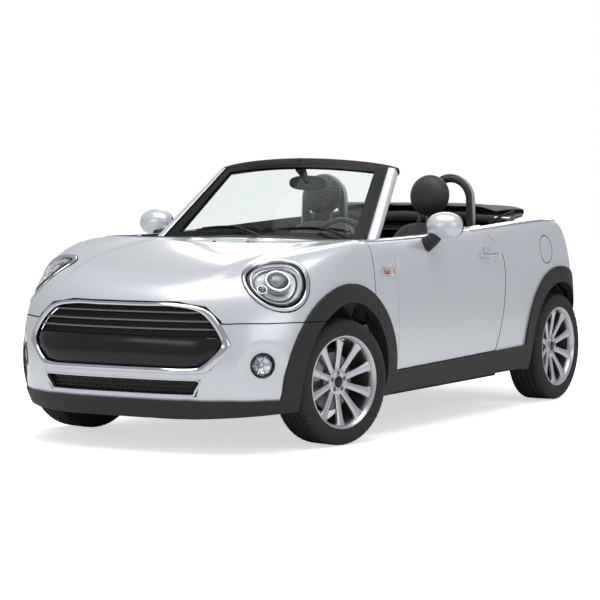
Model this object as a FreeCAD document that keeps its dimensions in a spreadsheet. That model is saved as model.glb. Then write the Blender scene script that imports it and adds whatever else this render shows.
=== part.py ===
import FreeCAD, Part
import Sketcher
import math
import os
import re

os.makedirs("parts", exist_ok=True)
doc = FreeCAD.newDocument("convertible_car")
Vector = FreeCAD.Vector
ALONG, ACROSS, UP = Vector(1, 0, 0), Vector(0, 1, 0), Vector(0, 0, 1)

# Driving dimensions in millimetres and degrees
SIZES = {
    # Whole vehicle
    "body_length": 3821, "skin_width": 1700, "belt_height": 985, "wheel_base": 2495, "track_width": 1501,
    "front_axle_place": 1140.5, "panel_gap": 5, "door_gap": 7, "seat_gap": 0.3, "cut_overrun": 400,
    # Wheels
    "tyre_radius": 310.6, "tyre_width": 205,     "bead_radius": 230, "bead_width": 190, "rim_width": 196,     "rim_wall": 8, "spoke_count": 10, "spoke_root_width": 40,
    "spoke_tip_width": 28, "spoke_depth": 26, "spoke_face": 78, "spoke_foot": 50, "hub_radius": 70,
    "hub_depth": 44, "cap_depth": 7, "disc_radius": 140, "disc_thickness": 22, "disc_face": 6,
    "hub_nose_radius": 34,
    # Steering and front suspension
    "kingpin_inset": 55, "rest_steer": -14, "kingpin_radius": 12, "arm_height": 176,
    "arm_thickness": 30, "arm_root_half": 150, "upright_width": 60, "upright_bottom": 192, "upright_top": 430,
    "upright_face": -36, "upright_depth": 44, "strut_radius": 26, "strut_inset": 118, "strut_bottom": 400,
    "strut_top": 676, "spring_radius": 58, "spring_seat_height": 640,         # Wheel arches
    "front_arch_radius": 388, "rear_arch_radius": 377, "cladding_width": 92, "cladding_stand": 12,
    "wheelhouse_inner": 445, "wheelhouse_wall": 8, "wheelhouse_outer": 715, "rear_house_outer": 765, "wheelhouse_foot": 203,
    "rear_house_inner": 560, "drive_gap": 140, "drive_gap_top": 420,
    # Panel lines
    "bonnet_line": 622, "bonnet_side_rear": 880, "bonnet_top_rear": 700,     "bonnet_wall": 16, "trim_foot": 560, "lip_line": 258, "lip_bottom": 168, "bumper_wall": 34, "quarter_wall": 46, "scuttle_wall": 70,
    "door_inner": 722, "hinge_place": 555, "hinge_inset": 790, "door_front_radius": 104,
    "sill_line_front": 326, "sill_line_rear": 350, "sill_bottom": 216, "sill_inner": 690,
    "tail_line": 590, "tail_wall": 44, "lid_half": 520, "lid_top": 975,     "bonnet_corner_half": 760, "nose_cut_start": 1200, "nose_fan": 72, "grille_half": 578, "grille_top": 718,
    "grille_bottom": 388, "grille_fan": 30, "ring_side": 40, "ring_top": 18, "ring_bottom": 26, "ring_stand": 7,
    "grille_back": 38, "grille_front": 22, "intake_top_half": 451, "intake_top": 363, "intake_bottom_half": 422,
    "intake_bottom": 279, "lamp_turn": 34.4, "lamp_share": 0.545, "lamp_ring_radius": 166, "lamp_ring_width": 20,
    "lamp_ring_stand": 4, "lamp_radius": 130, "lamp_depth": 70, "lamp_set_back": 8, "lamp_reach": 130, "bracket_rear": 1420, "bracket_front": 1460, "bracket_inner": 590, "bracket_outer": 670,
    "bracket_low": 540, "bracket_high": 812,
    "fog_turn": 31.4, "fog_share": 0.16, "fog_radius": 62, "fog_depth": 50, "fog_set_back": 1,
    "sill_line_front_place": 664, "sill_line_rear_place": -924, "sill_reach": 1000,
    "door_rear_place": -470, "door_rear_bow": 148, "door_edge_top": 1003, "quarter_front": -300,
    "rear_trim_start": 560, "tail_fan": 84,
    # Windscreen
    "pillar_base_place": 600, "pillar_base_half": 695, "pillar_base_height": 962, "screen_lead": 40,
    "header_place": 92, "header_half": 552, "header_height": 1366, "header_crown": 44, "header_lead": 80,
    "frame_depth": 50, "glass_thickness": 5, "glass_depth": 12, "glass_gap_share": 0.002, "pillar_width": 62, "header_depth": 44, "glass_low_share": 0.13,
    # Floor and structure
    "floor_bottom": 176, "floor_corner": 765, "floor_thickness": 26, "tunnel_half": 120, "tunnel_height": 330, "tunnel_wall": 12,
    "bulkhead_place": 790, "bulkhead_thickness": 24, "bulkhead_top": 930, "kick_place": -830, "boot_floor": 420,
    "boot_half": 560, "floor_rear": -1780, "bulkhead_half": 440, "tunnel_taper": 30, "cowl_rear": 560,
    "cowl_half": 690, "cowl_wall": 18,
    # Cabin
    "seat_half_place": 350, "seat_width": 500, "cushion_rear": -560, "cushion_length": 520, "cushion_top": 470,
    "cushion_depth": 150, "back_thickness": 130, "back_height": 640, "back_lean": 13, "headrest_radius": 118,
    "headrest_place": -678, "headrest_height": 1196, "headrest_width": 120, "headrest_ease": 30, "drum_sides": 28, "post_radius": 8,
    "dash_rear": 330, "dash_front": 560, "dash_top": 985, "dash_bottom": 640, "dash_half": 690,
    "wheel_rim_radius": 180, "wheel_rim_tube": 15, "column_lean": 24, "steering_place": 262,
    "steering_height": 915, "column_length": 300, "column_radius": 34, "steering_hub_radius": 62,
    "steering_hub_depth": 44,
    "bench_front": -700, "bench_length": 360, "bench_half": 520, "bench_top": 560, "bench_depth": 113.7,
    "bench_back_top": 900, "bench_back_thickness": 120, "hoop_place": -840, "hoop_inner": 270, "hoop_outer": 560,
    "hoop_base": 900, "hoop_top": 1320, "hoop_tube": 26,
    "top_front": -900, "top_rear": -1330, "top_half": 640, "top_bottom": 985, "top_height": 1150,
    "seat_round": 40, "dash_slope": 60, "frame_foot_front": 480, "frame_foot_half": 640, "column_clear": 22.3, 
    "mirror_place": 250, "mirror_half": 905,
    "mirror_height": 1051, "stalk_width": 50, "stalk_root": 780, "stalk_drop": 84, "mirror_depth": 110, "mirror_width": 200,
    "mirror_tall": 140, "hoop_depth": 60, "ring_sides": 8, "post_drop": 90, "post_length": 110,
    "post_spread": 60, "wiper_span_share": 0.8, "wiper_share": 0.13, "wiper_rise_share": 0.02, "wiper_stand": 14, "pivot_place": 570, "pivot_width": 24, "pivot_low": 960, "pivot_high": 1034,
    "pivot_half": 360,
    "inside_mirror_set": 90, "inside_mirror_depth": 36, "inside_mirror_half": 115, "inside_mirror_drop": 40,
    "inside_mirror_tall": 70, "inside_mirror_reach": 60, "muffler_front": -1480, "exhaust_end": -1890,
    "tip_place": 60, "tip_height": 182, "handle_front": -310, "handle_rear": -540, "handle_place": 877,
    "handle_stand": 26, "handle_height": 26, "handle_round": 8, "handle_clear": 10, "foot_reach": 30, "bar_reach": 40, "boot_handle_half": 160,
    "boot_handle_height": 850, "strip_stand": 6, "scuttle_inner": 745,
    "tail_lamp_inner": 560, "tail_lamp_outer": 700, "tail_lamp_bottom": 660, "tail_lamp_top": 900,
    "tail_lamp_round": 40, "tail_lamp_stand": 5, "flap_place": -1192, "flap_share": 0.55, "flap_radius": 78,
    "flap_depth": 10,
    # Running gear
    "engine_length": 480, "engine_width": 620, "engine_height": 470, "engine_bottom": 300,
    "engine_front": 1560, "subframe_height": 60, "subframe_half": 330, "subframe_length": 520,
    "subframe_rail": 60, "rear_beam_radius": 34, "exhaust_radius": 26,
    "exhaust_height": 196, "muffler_length": 240, "muffler_width": 520, "muffler_height": 130,
    "tank_front": -860, "tank_bottom": 230, "radiator_half": 300, "radiator_bottom": 240, "radiator_depth": 50,
    "radiator_height": 400, "arm_tip_half": 26, "kingpin_length": 60, "kingpin_boss": 24, "kingpin_boss_height": 90,
    "stub_length": 60, "rear_beam_half": 550, "stub_end": 24, "trailing_length": 420, "trailing_width": 60,
    "rear_spring_length": 109, 
    "tank_length": 360, "tank_width": 900, "tank_height": 150, "radiator_place": 1690,
}
sheet = doc.addObject("Spreadsheet::Sheet", "Sizes")
for row, (name, value) in enumerate(SIZES.items(), 1):
    sheet.set("A%d" % row, name)
    sheet.set("B%d" % row, str(value))
    sheet.setAlias("B%d" % row, name)
doc.recompute()


class Dimensions:
    # Reads one driving dimension from the sheet by its name.
    def __getattr__(self, name):
        return float(sheet.get(name))


size = Dimensions()
half_length = size.body_length / 2
half_width = size.skin_width / 2
half_track = size.track_width / 2
rear_axle_place = size.front_axle_place - size.wheel_base
kingpin_place = half_track - size.kingpin_inset


SUB_PARTS = []


def bind(thing, prop, formula):
    words = re.sub(r"[a-z]+(_[a-z]+)+", lambda m: "Sizes." + m.group(), formula)
    thing.setExpression(prop, words)


def add_feature(label, shape, placement=None):
    thing = doc.addObject("Part::Feature", label)
    thing.Label = label
    thing.Shape = shape
    if placement:
        thing.Placement = placement
    SUB_PARTS.append(thing)
    return thing


def origin_plane(body, role):
    return next(f for f in body.Origin.OriginFeatures if f.Role == role)


def add_sketch(body, role, outline, name, offset=None):
    # A closed outline whose corners are each held by two bound distances from the origin.
    sketch = body.newObject("Sketcher::SketchObject", name)
    sketch.AttachmentSupport = [(origin_plane(body, role), "")]
    sketch.MapMode = "FlatFace"
    if offset:
        bind(sketch, "AttachmentOffset.Base.z", offset)
    count = len(outline)
    rough = [Vector(size.tyre_radius + math.cos(math.tau * i / count), math.sin(math.tau * i / count), 0)
             for i in range(count)]
    for i in range(count):
        sketch.addGeometry(Part.LineSegment(rough[i], rough[(i + 1) % count]), False)
    for i in range(count):
        sketch.addConstraint(Sketcher.Constraint("Coincident", i, 2, (i + 1) % count, 1))
    for i, corner in enumerate(outline):
        for kind, formula in zip(("DistanceX", "DistanceY"), corner):
            if formula == "0":
                axis = -2 if kind == "DistanceX" else -1
                sketch.addConstraint(Sketcher.Constraint("PointOnObject", i, 1, axis))
            else:
                index = sketch.addConstraint(Sketcher.Constraint(kind, -1, 1, i, 1, size.tyre_radius))
                bind(sketch, "Constraints[%d]" % index, formula)
    doc.recompute()
    return sketch


def add_body(label, placement=None):
    body = doc.addObject("PartDesign::Body", label)
    body.Label = label
    body.Placement = placement or FreeCAD.Placement()
    SUB_PARTS.append(body)
    return body


def add_turning(body, outline, name):
    # Turns an outline of (radius, place along the axle) about the body's own Y axis.
    sketch = add_sketch(body, "XY_Plane", outline, name + "_outline")
    turning = body.newObject("PartDesign::Revolution", name)
    turning.Profile = sketch
    turning.ReferenceAxis = (sketch, ["V_Axis"])
    turning.Angle = 360
    sketch.Visibility = False
    doc.recompute()
    return turning


def add_pad(body, role, outline, name, depth, offset=None, cut=False):
    sketch = add_sketch(body, role, outline, name + "_outline", offset)
    pad = body.newObject("PartDesign::Pocket" if cut else "PartDesign::Pad", name)
    pad.Profile = sketch
    bind(pad, "Length", depth)
    doc.recompute()
    return pad


def add_block(label, formulas):
    # A plain box: low corner and size, each bound to the sheet.
    block = doc.addObject("Part::Box", label)
    block.Label = label
    for prop, formula in zip(("Placement.Base.x", "Placement.Base.y", "Placement.Base.z", "Length", "Width",
                              "Height"), formulas):
        bind(block, prop, formula)
    SUB_PARTS.append(block)
    return block


# The body's skin: ring after ring round the car, each a share of its length, width and belt height
RING_SHARES = (
    # nose, nose curve start, width, tail curve start, tail, nose and tail roundness,
    # heights at nose, front side, middle, rear side and tail
    (0.972, 0.60, 0.955, -0.66, -0.960, 2.90, 3.2, 0.165, 0.215, 0.215, 0.215, 0.215),
    (0.993, 0.60, 0.985, -0.67, -0.985, 2.90, 3.1, 0.260, 0.280, 0.280, 0.280, 0.290),
    (1.006, 0.60, 1.000, -0.68, -1.0075, 2.90, 3.0, 0.400, 0.400, 0.400, 0.400, 0.410),
    (1.004, 0.60, 1.008, -0.68, -1.0075, 2.80, 3.0, 0.530, 0.530, 0.530, 0.530, 0.530),
    (0.990, 0.60, 1.006, -0.68, -1.000, 2.60, 3.0, 0.665, 0.680, 0.680, 0.690, 0.670),
    (0.965, 0.58, 0.995, -0.68, -0.990, 2.40, 2.9, 0.770, 0.830, 0.840, 0.850, 0.800),
    (0.905, 0.55, 0.975, -0.68, -0.965, 2.20, 2.8, 0.845, 0.950, 0.950, 0.970, 0.930),
    (0.780, 0.50, 0.945, -0.66, -0.950, 2.15, 2.8, 0.900, 1.005, 1.010, 1.060, 1.000),
    (0.640, 0.42, 0.870, -0.64, -0.900, 2.10, 2.8, 0.945, 1.012, 1.025, 1.085, 1.040),
    (0.480, 0.33, 0.790, -0.60, -0.800, 2.10, 2.8, 0.980, 1.015, 1.030, 1.090, 1.065),
    (0.300, 0.20, 0.740, -0.56, -0.700, 2.10, 2.8, 1.020, 1.020, 1.030, 1.090, 1.080),
)
FRONT_SHARE, REAR_SHARE, BARREL_SHARE = 0.30, 0.70, 0.004
DEGREE = 3


def plan_curve(reach, width, angle, roundness):
    c, s = math.cos(angle), math.sin(angle)
    radius = (abs(c) ** roundness + abs(s) ** roundness) ** (-1 / roundness)
    return reach * c * radius, width * s * radius


def ring_place(ring, u):
    # A place on one ring: u runs from 0 at the nose to 1 at the tail, negative on the right side.
    nose, front, width, rear, tail, nose_round, tail_round, z_nose, z_front, z_middle, z_rear, z_tail = ring
    way = abs(u)
    reach = width * half_width
    if way < FRONT_SHARE:
        angle = way / FRONT_SHARE * math.pi / 2
        x, y = plan_curve((nose - front) * half_length, reach, angle, nose_round)
        x += front * half_length
        z = z_nose + (z_front - z_nose) * math.sin(angle) ** 2
    elif way <= REAR_SHARE:
        q = (way - FRONT_SHARE) / (REAR_SHARE - FRONT_SHARE)
        x = (front + (rear - front) * q) * half_length
        y = reach * (1 + BARREL_SHARE * math.sin(math.pi * q) ** 2)
        z = z_front + (z_rear - z_front) * q * q * (3 - 2 * q) + (2 * z_middle - z_front - z_rear) * q * (1 - q)
    else:
        angle = (1 - way) / (1 - REAR_SHARE) * math.pi / 2
        x, y = plan_curve((rear - tail) * half_length, reach, angle, tail_round)
        x = rear * half_length - x
        z = z_tail + (z_rear - z_tail) * math.sin(angle) ** 2
    return Vector(x, math.copysign(y, u), z * size.belt_height)


def ring_weights(v):
    # Cubic B-spline weights of the rings at height share v.
    count = len(RING_SHARES)
    spans = count - DEGREE
    t = min(max(v, 0), 1) * spans
    knots = [0] * DEGREE + list(range(spans + 1)) + [spans] * DEGREE
    start = min(int(t), spans - 1) + DEGREE
    weights = [0.0] * (count + DEGREE)
    weights[start] = 1.0
    for step in range(1, DEGREE + 1):
        raised = [0.0] * (count + DEGREE)
        for j in range(start - step, start + 1):
            left, right = knots[j + step] - knots[j], knots[j + step + 1] - knots[j + 1]
            if left:
                raised[j] += (t - knots[j]) / left * weights[j]
            if right:
                raised[j] += (knots[j + step + 1] - t) / right * weights[j + 1]
        weights = raised
    return weights[:count]


def skin_place(u, v):
    place = Vector(0, 0, 0)
    for weight, ring in zip(ring_weights(v), RING_SHARES):
        if weight:
            place += ring_place(ring, u) * weight
    return place


def skin_normal(u, v, step=0.002):
    along = skin_place(min(u + step, 1), v) - skin_place(max(u - step, -1), v)
    up = skin_place(u, min(v + step, 1)) - skin_place(u, max(v - step, 0))
    normal = along.cross(up)
    normal.normalize()
    return normal


# Section planes: across the car along its sides, and fanned out round the nose and the tail
NOSE_AXIS_SHARE, TAIL_AXIS_SHARE = 0.29, -0.66
POINTS_PER_HEIGHT = 13
DENSE_POINTS = 25
STRAIGHT_ANGLE = 90
nose_axis, tail_axis = NOSE_AXIS_SHARE * half_length, TAIL_AXIS_SHARE * half_length


def station_miss(station, place):
    # How far a place on the left half lies from a station's plane.
    kind, value = station
    if kind == "across":
        return place.x - value
    axis = nose_axis if kind == "nose" else tail_axis
    ahead = place.x - axis if kind == "nose" else axis - place.x
    turn = math.atan2(place.y, ahead)
    return math.radians(value) - turn if kind == "nose" else turn - math.radians(value)


def place_on(station, side, v):
    # The skin's place at height share v on one station's plane.
    low, high = 0.0, 1.0
    miss_low, miss_high = (station_miss(station, skin_place(u, v)) for u in (low, high))
    for turn in range(40):
        share = 0.5 if turn % 3 == 2 else miss_low / (miss_low - miss_high)
        u = low + (high - low) * share
        place = skin_place(u, v)
        miss = station_miss(station, place)
        if abs(miss) < 1e-7:
            break
        if miss > 0:
            low, miss_low = u, miss
        else:
            high, miss_high = u, miss
    normal = skin_normal(u, v)
    return Vector(place.x, side * place.y, place.z), Vector(normal.x, side * normal.y, normal.z)


def place_at_height(station, height):
    # The skin's place on the left where one station's plane meets a height.
    low, high = 0.0, 1.0
    for halving in range(30):
        middle = (low + high) / 2
        if place_on(station, 1, middle)[0].z < height:
            low = middle
        else:
            high = middle
    return place_on(station, 1, middle)[0]


def section_places(station, side, v_low, v_high, count):
    # Places spaced evenly along one section of the skin.
    dense = [v_low + (v_high - v_low) * i / (DENSE_POINTS - 1) for i in range(DENSE_POINTS)]
    places = [place_on(station, side, v)[0] for v in dense]
    run = [0.0]
    for near, far in zip(places, places[1:]):
        run.append(run[-1] + near.distanceToPoint(far))
    evens = []
    for i in range(count):
        target = run[-1] * i / (count - 1)
        k = max(j for j in range(DENSE_POINTS - 1) if run[j] <= target + size.seat_gap)
        share = (target - run[k]) / (run[k + 1] - run[k])
        evens.append(place_on(station, side, dense[k] + (dense[k + 1] - dense[k]) * share))
    return evens


def patch(near, far):
    # Pairs of flat triangles between two rows of points.
    faces = []
    for a, b, c, d in zip(near, near[1:], far[1:], far):
        faces += [Part.Face(Part.makePolygon([a, b, c, a])), Part.Face(Part.makePolygon([a, c, d, a]))]
    return faces


def closed_wall(outer_rows, inner_rows):
    # The solid between an outer and an inner grid of points.
    faces = patch(outer_rows[0], inner_rows[0]) + patch(outer_rows[-1], inner_rows[-1])
    for rows in (outer_rows, inner_rows):
        for near, far in zip(rows, rows[1:]):
            faces += patch(near, far)
    for end in (0, -1):
        faces += patch([row[end] for row in outer_rows], [row[end] for row in inner_rows])
    shell = Part.makeShell(faces)
    shell.sewShape()
    solid = Part.makeSolid(shell if shell.ShapeType == "Shell" else shell.Shells[0])
    if solid.Volume < 0:
        solid.reverse()
    return solid


def build_wall(stations, v_low, v_high, inner, stand=0):
    # A wall between the skin, or a face standing off it, and an inner side, section by section.
    count = max(2, 1 + round((v_high - v_low) * POINTS_PER_HEIGHT))
    outer_rows, inner_rows = [], []
    for side, station in stations:
        places = section_places(station, side, v_low, v_high, count)
        outer_rows.append([place + normal * stand for place, normal in places])
        inner_rows.append([inner(place, normal) for place, normal in places])
    return closed_wall(outer_rows, inner_rows)


def spaced(low, high, count):
    return [low + (high - low) * i / (count - 1) for i in range(count)]


def nose_stations(limit, count):
    # The nose's fan of planes from the right side through the middle to the left.
    turns = spaced(-limit, limit, count)
    return [(math.copysign(1, turn), ("nose", abs(turn))) for turn in turns]


def side_stations(front, rear, count):
    return [(1, ("across", x)) for x in spaced(front, rear, count)]


def tail_stations(limit, count):
    # The tail's fan of planes from the left side through the middle to the right.
    return [(math.copysign(1, turn), ("tail", abs(turn))) for turn in spaced(limit, -limit, count)]


def quarter_stations(front, count, end, fan_count):
    turns = spaced(STRAIGHT_ANGLE, end, fan_count)[1:]
    return side_stations(front, tail_axis, count) + [(1, ("tail", turn)) for turn in turns]


def offset_inner(depth):
    return lambda place, normal: place - normal * depth


def flat_inner(depth):
    return lambda place, normal: Vector(place.x, math.copysign(depth, place.y), place.z)


def prism(outline, direction, low, high):
    # An outline of (first, second) coordinates in the plane across the direction, carried from low to high.
    if direction is ACROSS:
        points = [Vector(a, low, b) for a, b in outline]
    elif direction is UP:
        points = [Vector(a, b, low) for a, b in outline]
    else:
        points = [Vector(low, a, b) for a, b in outline]
    wire = Part.makePolygon(points + points[:1])
    return Part.Face(wire).extrude(direction * (high - low))


def box(x_low, x_high, y_low, y_high, z_low, z_high):
    return Part.makeBox(x_high - x_low, y_high - y_low, z_high - z_low, Vector(x_low, y_low, z_low))


def cylinder(radius, start, direction, length):
    return Part.makeCylinder(radius, length, start, direction)


def many_sided(radius, start, direction, length):
    # A drum of flat sides round a radius, for cuts and rims in the body's faceted panels.
    corners = [(radius * math.cos(math.tau * (i + 0.5) / size.drum_sides),
                radius * math.sin(math.tau * (i + 0.5) / size.drum_sides)) for i in range(int(size.drum_sides))]
    drum = prism(corners, UP, 0, length)
    drum.Placement = FreeCAD.Placement(start, FreeCAD.Rotation(UP, direction))
    return drum


def turned_ring(section, sides):
    # A ring about the X axis through the origin, flat between its turns; section is (along, outward) points.
    rows = [[Vector(a, r * math.cos(turn), r * math.sin(turn)) for a, r in section + section[:1]]
            for turn in spaced(0, math.tau, sides + 1)]
    faces = []
    for near, far in zip(rows, rows[1:]):
        faces += patch(near, far)
    shell = Part.makeShell(faces)
    shell.sewShape()
    solid = Part.makeSolid(shell)
    if solid.Volume < 0:
        solid.reverse()
    return solid


def mirrored(shape):
    return shape.mirror(Vector(0, 0, 0), ACROSS)


def both_sides(shape):
    return Part.makeCompound([shape, mirrored(shape)])


# How far the middle of an eased corner stays from the sharp one, as a share of the rounding
EASE_SHARE = 0.586


def rounded_prism(outline, direction, low, high, rounding):
    # A prism whose long edges are eased by two flats each.
    corners = [Vector(a, b, 0) for a, b in outline]
    eased = []
    for i, corner in enumerate(corners):
        for way in (corners[i - 1] - corner, corners[(i + 1) % len(corners)] - corner):
            way.normalize()
            eased.append(corner + way * rounding)
            eased.append(corner + way * rounding * EASE_SHARE)
        eased[-1], eased[-2] = eased[-2], eased[-1]
    middles = []
    for i in range(0, len(eased), 4):
        near_far, near, far, far_far = eased[i:i + 4]
        bulge = (near + far) * 0.5
        middles += [near_far, bulge, far_far]
    return prism([(p.x, p.y) for p in middles], direction, low, high)


def mirror_outline(outline):
    # Closes a half outline of (across, up) points by its mirror image.
    return outline + [(-a, b) for a, b in reversed(outline) if a]


far_ahead, far_behind, far_out = half_length + size.cut_overrun, -half_length - size.cut_overrun, half_width * 2
above = size.header_height + size.cut_overrun
gap_half = size.panel_gap / 2
front_axle, rear_axle = Vector(size.front_axle_place, 0, size.tyre_radius), Vector(rear_axle_place, 0, size.tyre_radius)


def arch_cut(axle, radius):
    return many_sided(radius, Vector(axle.x, -far_out, axle.z), ACROSS, 2 * far_out)


front_arch, rear_arch = arch_cut(front_axle, size.front_arch_radius), arch_cut(rear_axle, size.rear_arch_radius)
front_trim_cut = arch_cut(front_axle, size.front_arch_radius + size.cladding_width)
rear_trim_cut = arch_cut(rear_axle, size.rear_arch_radius + size.cladding_width)

# Front face outlines, half widths and heights as shares of the grille's own size
GRILLE_HALF, GRILLE_TOP, GRILLE_BOTTOM = size.grille_half, size.grille_top, size.grille_bottom
GRILLE_SHARES = ((0.52, 1.0), (0.76, 0.93), (0.90, 0.74), (1.0, 0.46), (0.985, 0.30), (0.86, 0.06), (0.74, 0.0))


def grille_outline(inset_side, inset_top, inset_bottom):
    half, low, high = GRILLE_HALF - inset_side, GRILLE_BOTTOM + inset_bottom, GRILLE_TOP - inset_top
    return mirror_outline([(half * a, low + (high - low) * b) for a, b in GRILLE_SHARES])


nose_low, nose_high = size.nose_cut_start, far_ahead
ring_cut = prism(grille_outline(-size.panel_gap, -size.panel_gap, -size.panel_gap), ALONG, nose_low, nose_high)
ring_outer = prism(grille_outline(0, 0, 0), ALONG, nose_low, nose_high)
ring_inner = prism(grille_outline(size.ring_side, size.ring_top, size.ring_bottom), ALONG, nose_low, nose_high)
intake_half_outline = [(size.intake_top_half, size.intake_top), (size.intake_bottom_half, size.intake_bottom)]
intake_cut = prism(mirror_outline(intake_half_outline), ALONG, nose_low, nose_high)

# Headlamps and fog lamps look along the skin's normal at their centres
lamp_station, lamp_v = ("nose", size.lamp_turn), size.lamp_share
lamp_place, lamp_normal = place_on(lamp_station, 1, lamp_v)
fog_place, fog_normal = place_on(("nose", size.fog_turn), 1, size.fog_share)


def round_cut(place, normal, radius, depth):
    return both_sides(many_sided(radius, place - normal * depth, normal, 2 * depth))


# Bonnet: a clamshell with its sides down to the bumper line and the arches
nose_wall = nose_stations(size.nose_fan, 19)
REAR_EDGE_POINTS = 11


def rear_edge(shift):
    # The bonnet's bowed rear edge from left to right, moved forward by a shift.
    points = [(size.bonnet_side_rear + shift, far_out)]
    for share in spaced(1, -1, REAR_EDGE_POINTS):
        bow = (size.bonnet_side_rear - size.bonnet_top_rear) * (1 - share * share)
        points.append((size.bonnet_side_rear - bow + shift, share * size.bonnet_corner_half))
    return points + [(size.bonnet_side_rear + shift, -far_out)]


def bonnet_plan(shift):
    # The plan area ahead of the bonnet's bowed rear edge, moved forward by a shift.
    return rear_edge(shift) + [(far_ahead, -far_out), (far_ahead, far_out)]


bonnet_area = prism(bonnet_plan(0), UP, size.bonnet_line + gap_half, above)
lamp_hole = round_cut(lamp_place, lamp_normal, size.lamp_ring_radius, size.lamp_reach)
bonnet_wall = build_wall(nose_wall, 0.30, 1.0, offset_inner(size.bonnet_wall))
bonnet = bonnet_wall.common(bonnet_area).cut(front_trim_cut).cut(ring_cut).cut(lamp_hole)
add_feature("bonnet", bonnet)

trim_wall = build_wall(nose_wall, 0.0, 0.62, offset_inner(size.bumper_wall), size.cladding_stand)
front_trim = trim_wall.common(front_trim_cut).cut(front_arch)
upper_area = box(size.bonnet_side_rear, far_ahead, -far_out, far_out, size.bonnet_line + gap_half, above)
upper_area = upper_area.fuse(box(size.bonnet_side_rear, size.front_axle_place, -far_out, far_out,
                                 size.trim_foot, above))
add_feature("bonnet_arch_trims", front_trim.common(upper_area))
ring_wall = build_wall(nose_wall, 0.32, 0.85, offset_inner(size.bonnet_wall), size.lamp_ring_stand)
ring_hole = round_cut(lamp_place, lamp_normal, size.lamp_ring_radius - size.lamp_ring_width, size.lamp_reach)
ring_stock = round_cut(lamp_place, lamp_normal, size.lamp_ring_radius - size.seat_gap, size.lamp_reach)
add_feature("headlamp_rings", ring_wall.common(ring_stock).cut(ring_hole))

# Front bumper, its dark lip and what sits in them
bumper_area = box(nose_low, far_ahead, -far_out, far_out, size.lip_line, size.bonnet_line - gap_half)
fog_hole = round_cut(fog_place, fog_normal, size.fog_radius, size.lamp_reach)
bumper_stock = build_wall(nose_wall, 0.0, 0.40, offset_inner(size.bumper_wall))
bumper = bumper_stock.common(bumper_area).cut(front_trim_cut).cut(ring_outer).cut(intake_cut).cut(fog_hole)
add_feature("front_bumper", bumper)
lip_area = box(nose_low, far_ahead, -far_out, far_out, size.lip_bottom, size.lip_line)
lip = trim_wall.common(lip_area).cut(front_trim_cut)
add_feature("front_lip", lip)
ring_stock = build_wall(nose_stations(size.grille_fan, 13), 0.05, 0.55, offset_inner(size.bumper_wall),
                        size.ring_stand)
add_feature("grille_surround", ring_stock.common(ring_outer).cut(ring_inner))
grille_stock = build_wall(nose_stations(size.grille_fan, 13), 0.05, 0.55, offset_inner(size.grille_back),
                          -size.grille_front)
add_feature("grilles", Part.makeCompound([grille_stock.common(ring_inner), grille_stock.common(intake_cut)]))
lamp_stock = build_wall(nose_wall, 0.32, 0.85, offset_inner(size.lamp_depth), -size.lamp_set_back)
bracket = box(size.bracket_rear, size.bracket_front, size.bracket_inner, size.bracket_outer, size.bracket_low,
              size.bracket_high)
bracket = bracket.cut(many_sided(size.front_arch_radius + size.wheelhouse_wall, Vector(front_axle.x, 0, front_axle.z),
                                 ACROSS, far_out))
lamp_left = lamp_stock.common(many_sided(size.lamp_radius, lamp_place - lamp_normal * size.lamp_reach, lamp_normal,
                                         2 * size.lamp_reach))
add_feature("headlamps", both_sides(lamp_left.fuse(bracket)))
fog_stock = build_wall(nose_wall, 0.0, 0.40, offset_inner(size.fog_depth), -size.fog_set_back)
add_feature("fog_lamps", fog_stock.common(fog_hole))

# Sill line, rising to the rear
def sill_line(x):
    rise = (size.sill_line_rear - size.sill_line_front) / (size.sill_line_rear_place - size.sill_line_front_place)
    return size.sill_line_front + (x - size.sill_line_front_place) * rise


# Door outline: a cylinder about the hinge ahead, a bowed edge behind
hinge = Vector(size.hinge_place, size.hinge_inset, 0)
DOOR_REAR_SHARES = ((-0.03, 0.20), (0.10, 0.42), (0.233, 0.64), (0.38, 0.84), (0.54, 0.986), (0.64, 1.02),
                    (0.732, 0.986), (0.81, 0.86), (0.873, 0.63), (0.93, 0.30), (0.972, -0.07), (1.0, -0.90),
                    (1.05, -2.0))


def door_rear(shift):
    # The bowed rear edge of the door: (length, height) points with a shift to the rear.
    low, high = size.sill_line_rear, size.door_edge_top
    return [(size.door_rear_place - size.door_rear_bow * b - shift, low + (high - low) * a)
            for a, b in DOOR_REAR_SHARES]


def door_area(front, low_shift, rear_shift):
    rear = door_rear(rear_shift)
    corner = (rear[0][0], sill_line(rear[0][0]) + low_shift)
    outline = [(front, sill_line(front) + low_shift), corner] + rear[1:] + [(rear[-1][0], above), (front, above)]
    return prism(outline, ACROSS, 0, far_out)


door_front_stop = hinge.x + size.door_front_radius
hinge_round = cylinder(size.door_front_radius, Vector(hinge.x, hinge.y, 0), UP, above)
hinge_clear = cylinder(size.door_front_radius + size.panel_gap, Vector(hinge.x, hinge.y, 0), UP, above)
door_stock = build_wall(side_stations(door_front_stop + size.panel_gap, -700, 7), 0.02, 0.855,
                        flat_inner(size.door_inner))
front_limit = hinge_round.fuse(box(far_behind, hinge.x, 0, far_out, 0, above))
door = door_stock.common(door_area(door_front_stop + size.panel_gap, size.panel_gap, 0)).common(front_limit)
opening = door_area(hinge.x, 0, size.door_gap).fuse(hinge_clear)
add_feature("door_left", door)
add_feature("door_right", mirrored(door))

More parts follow.
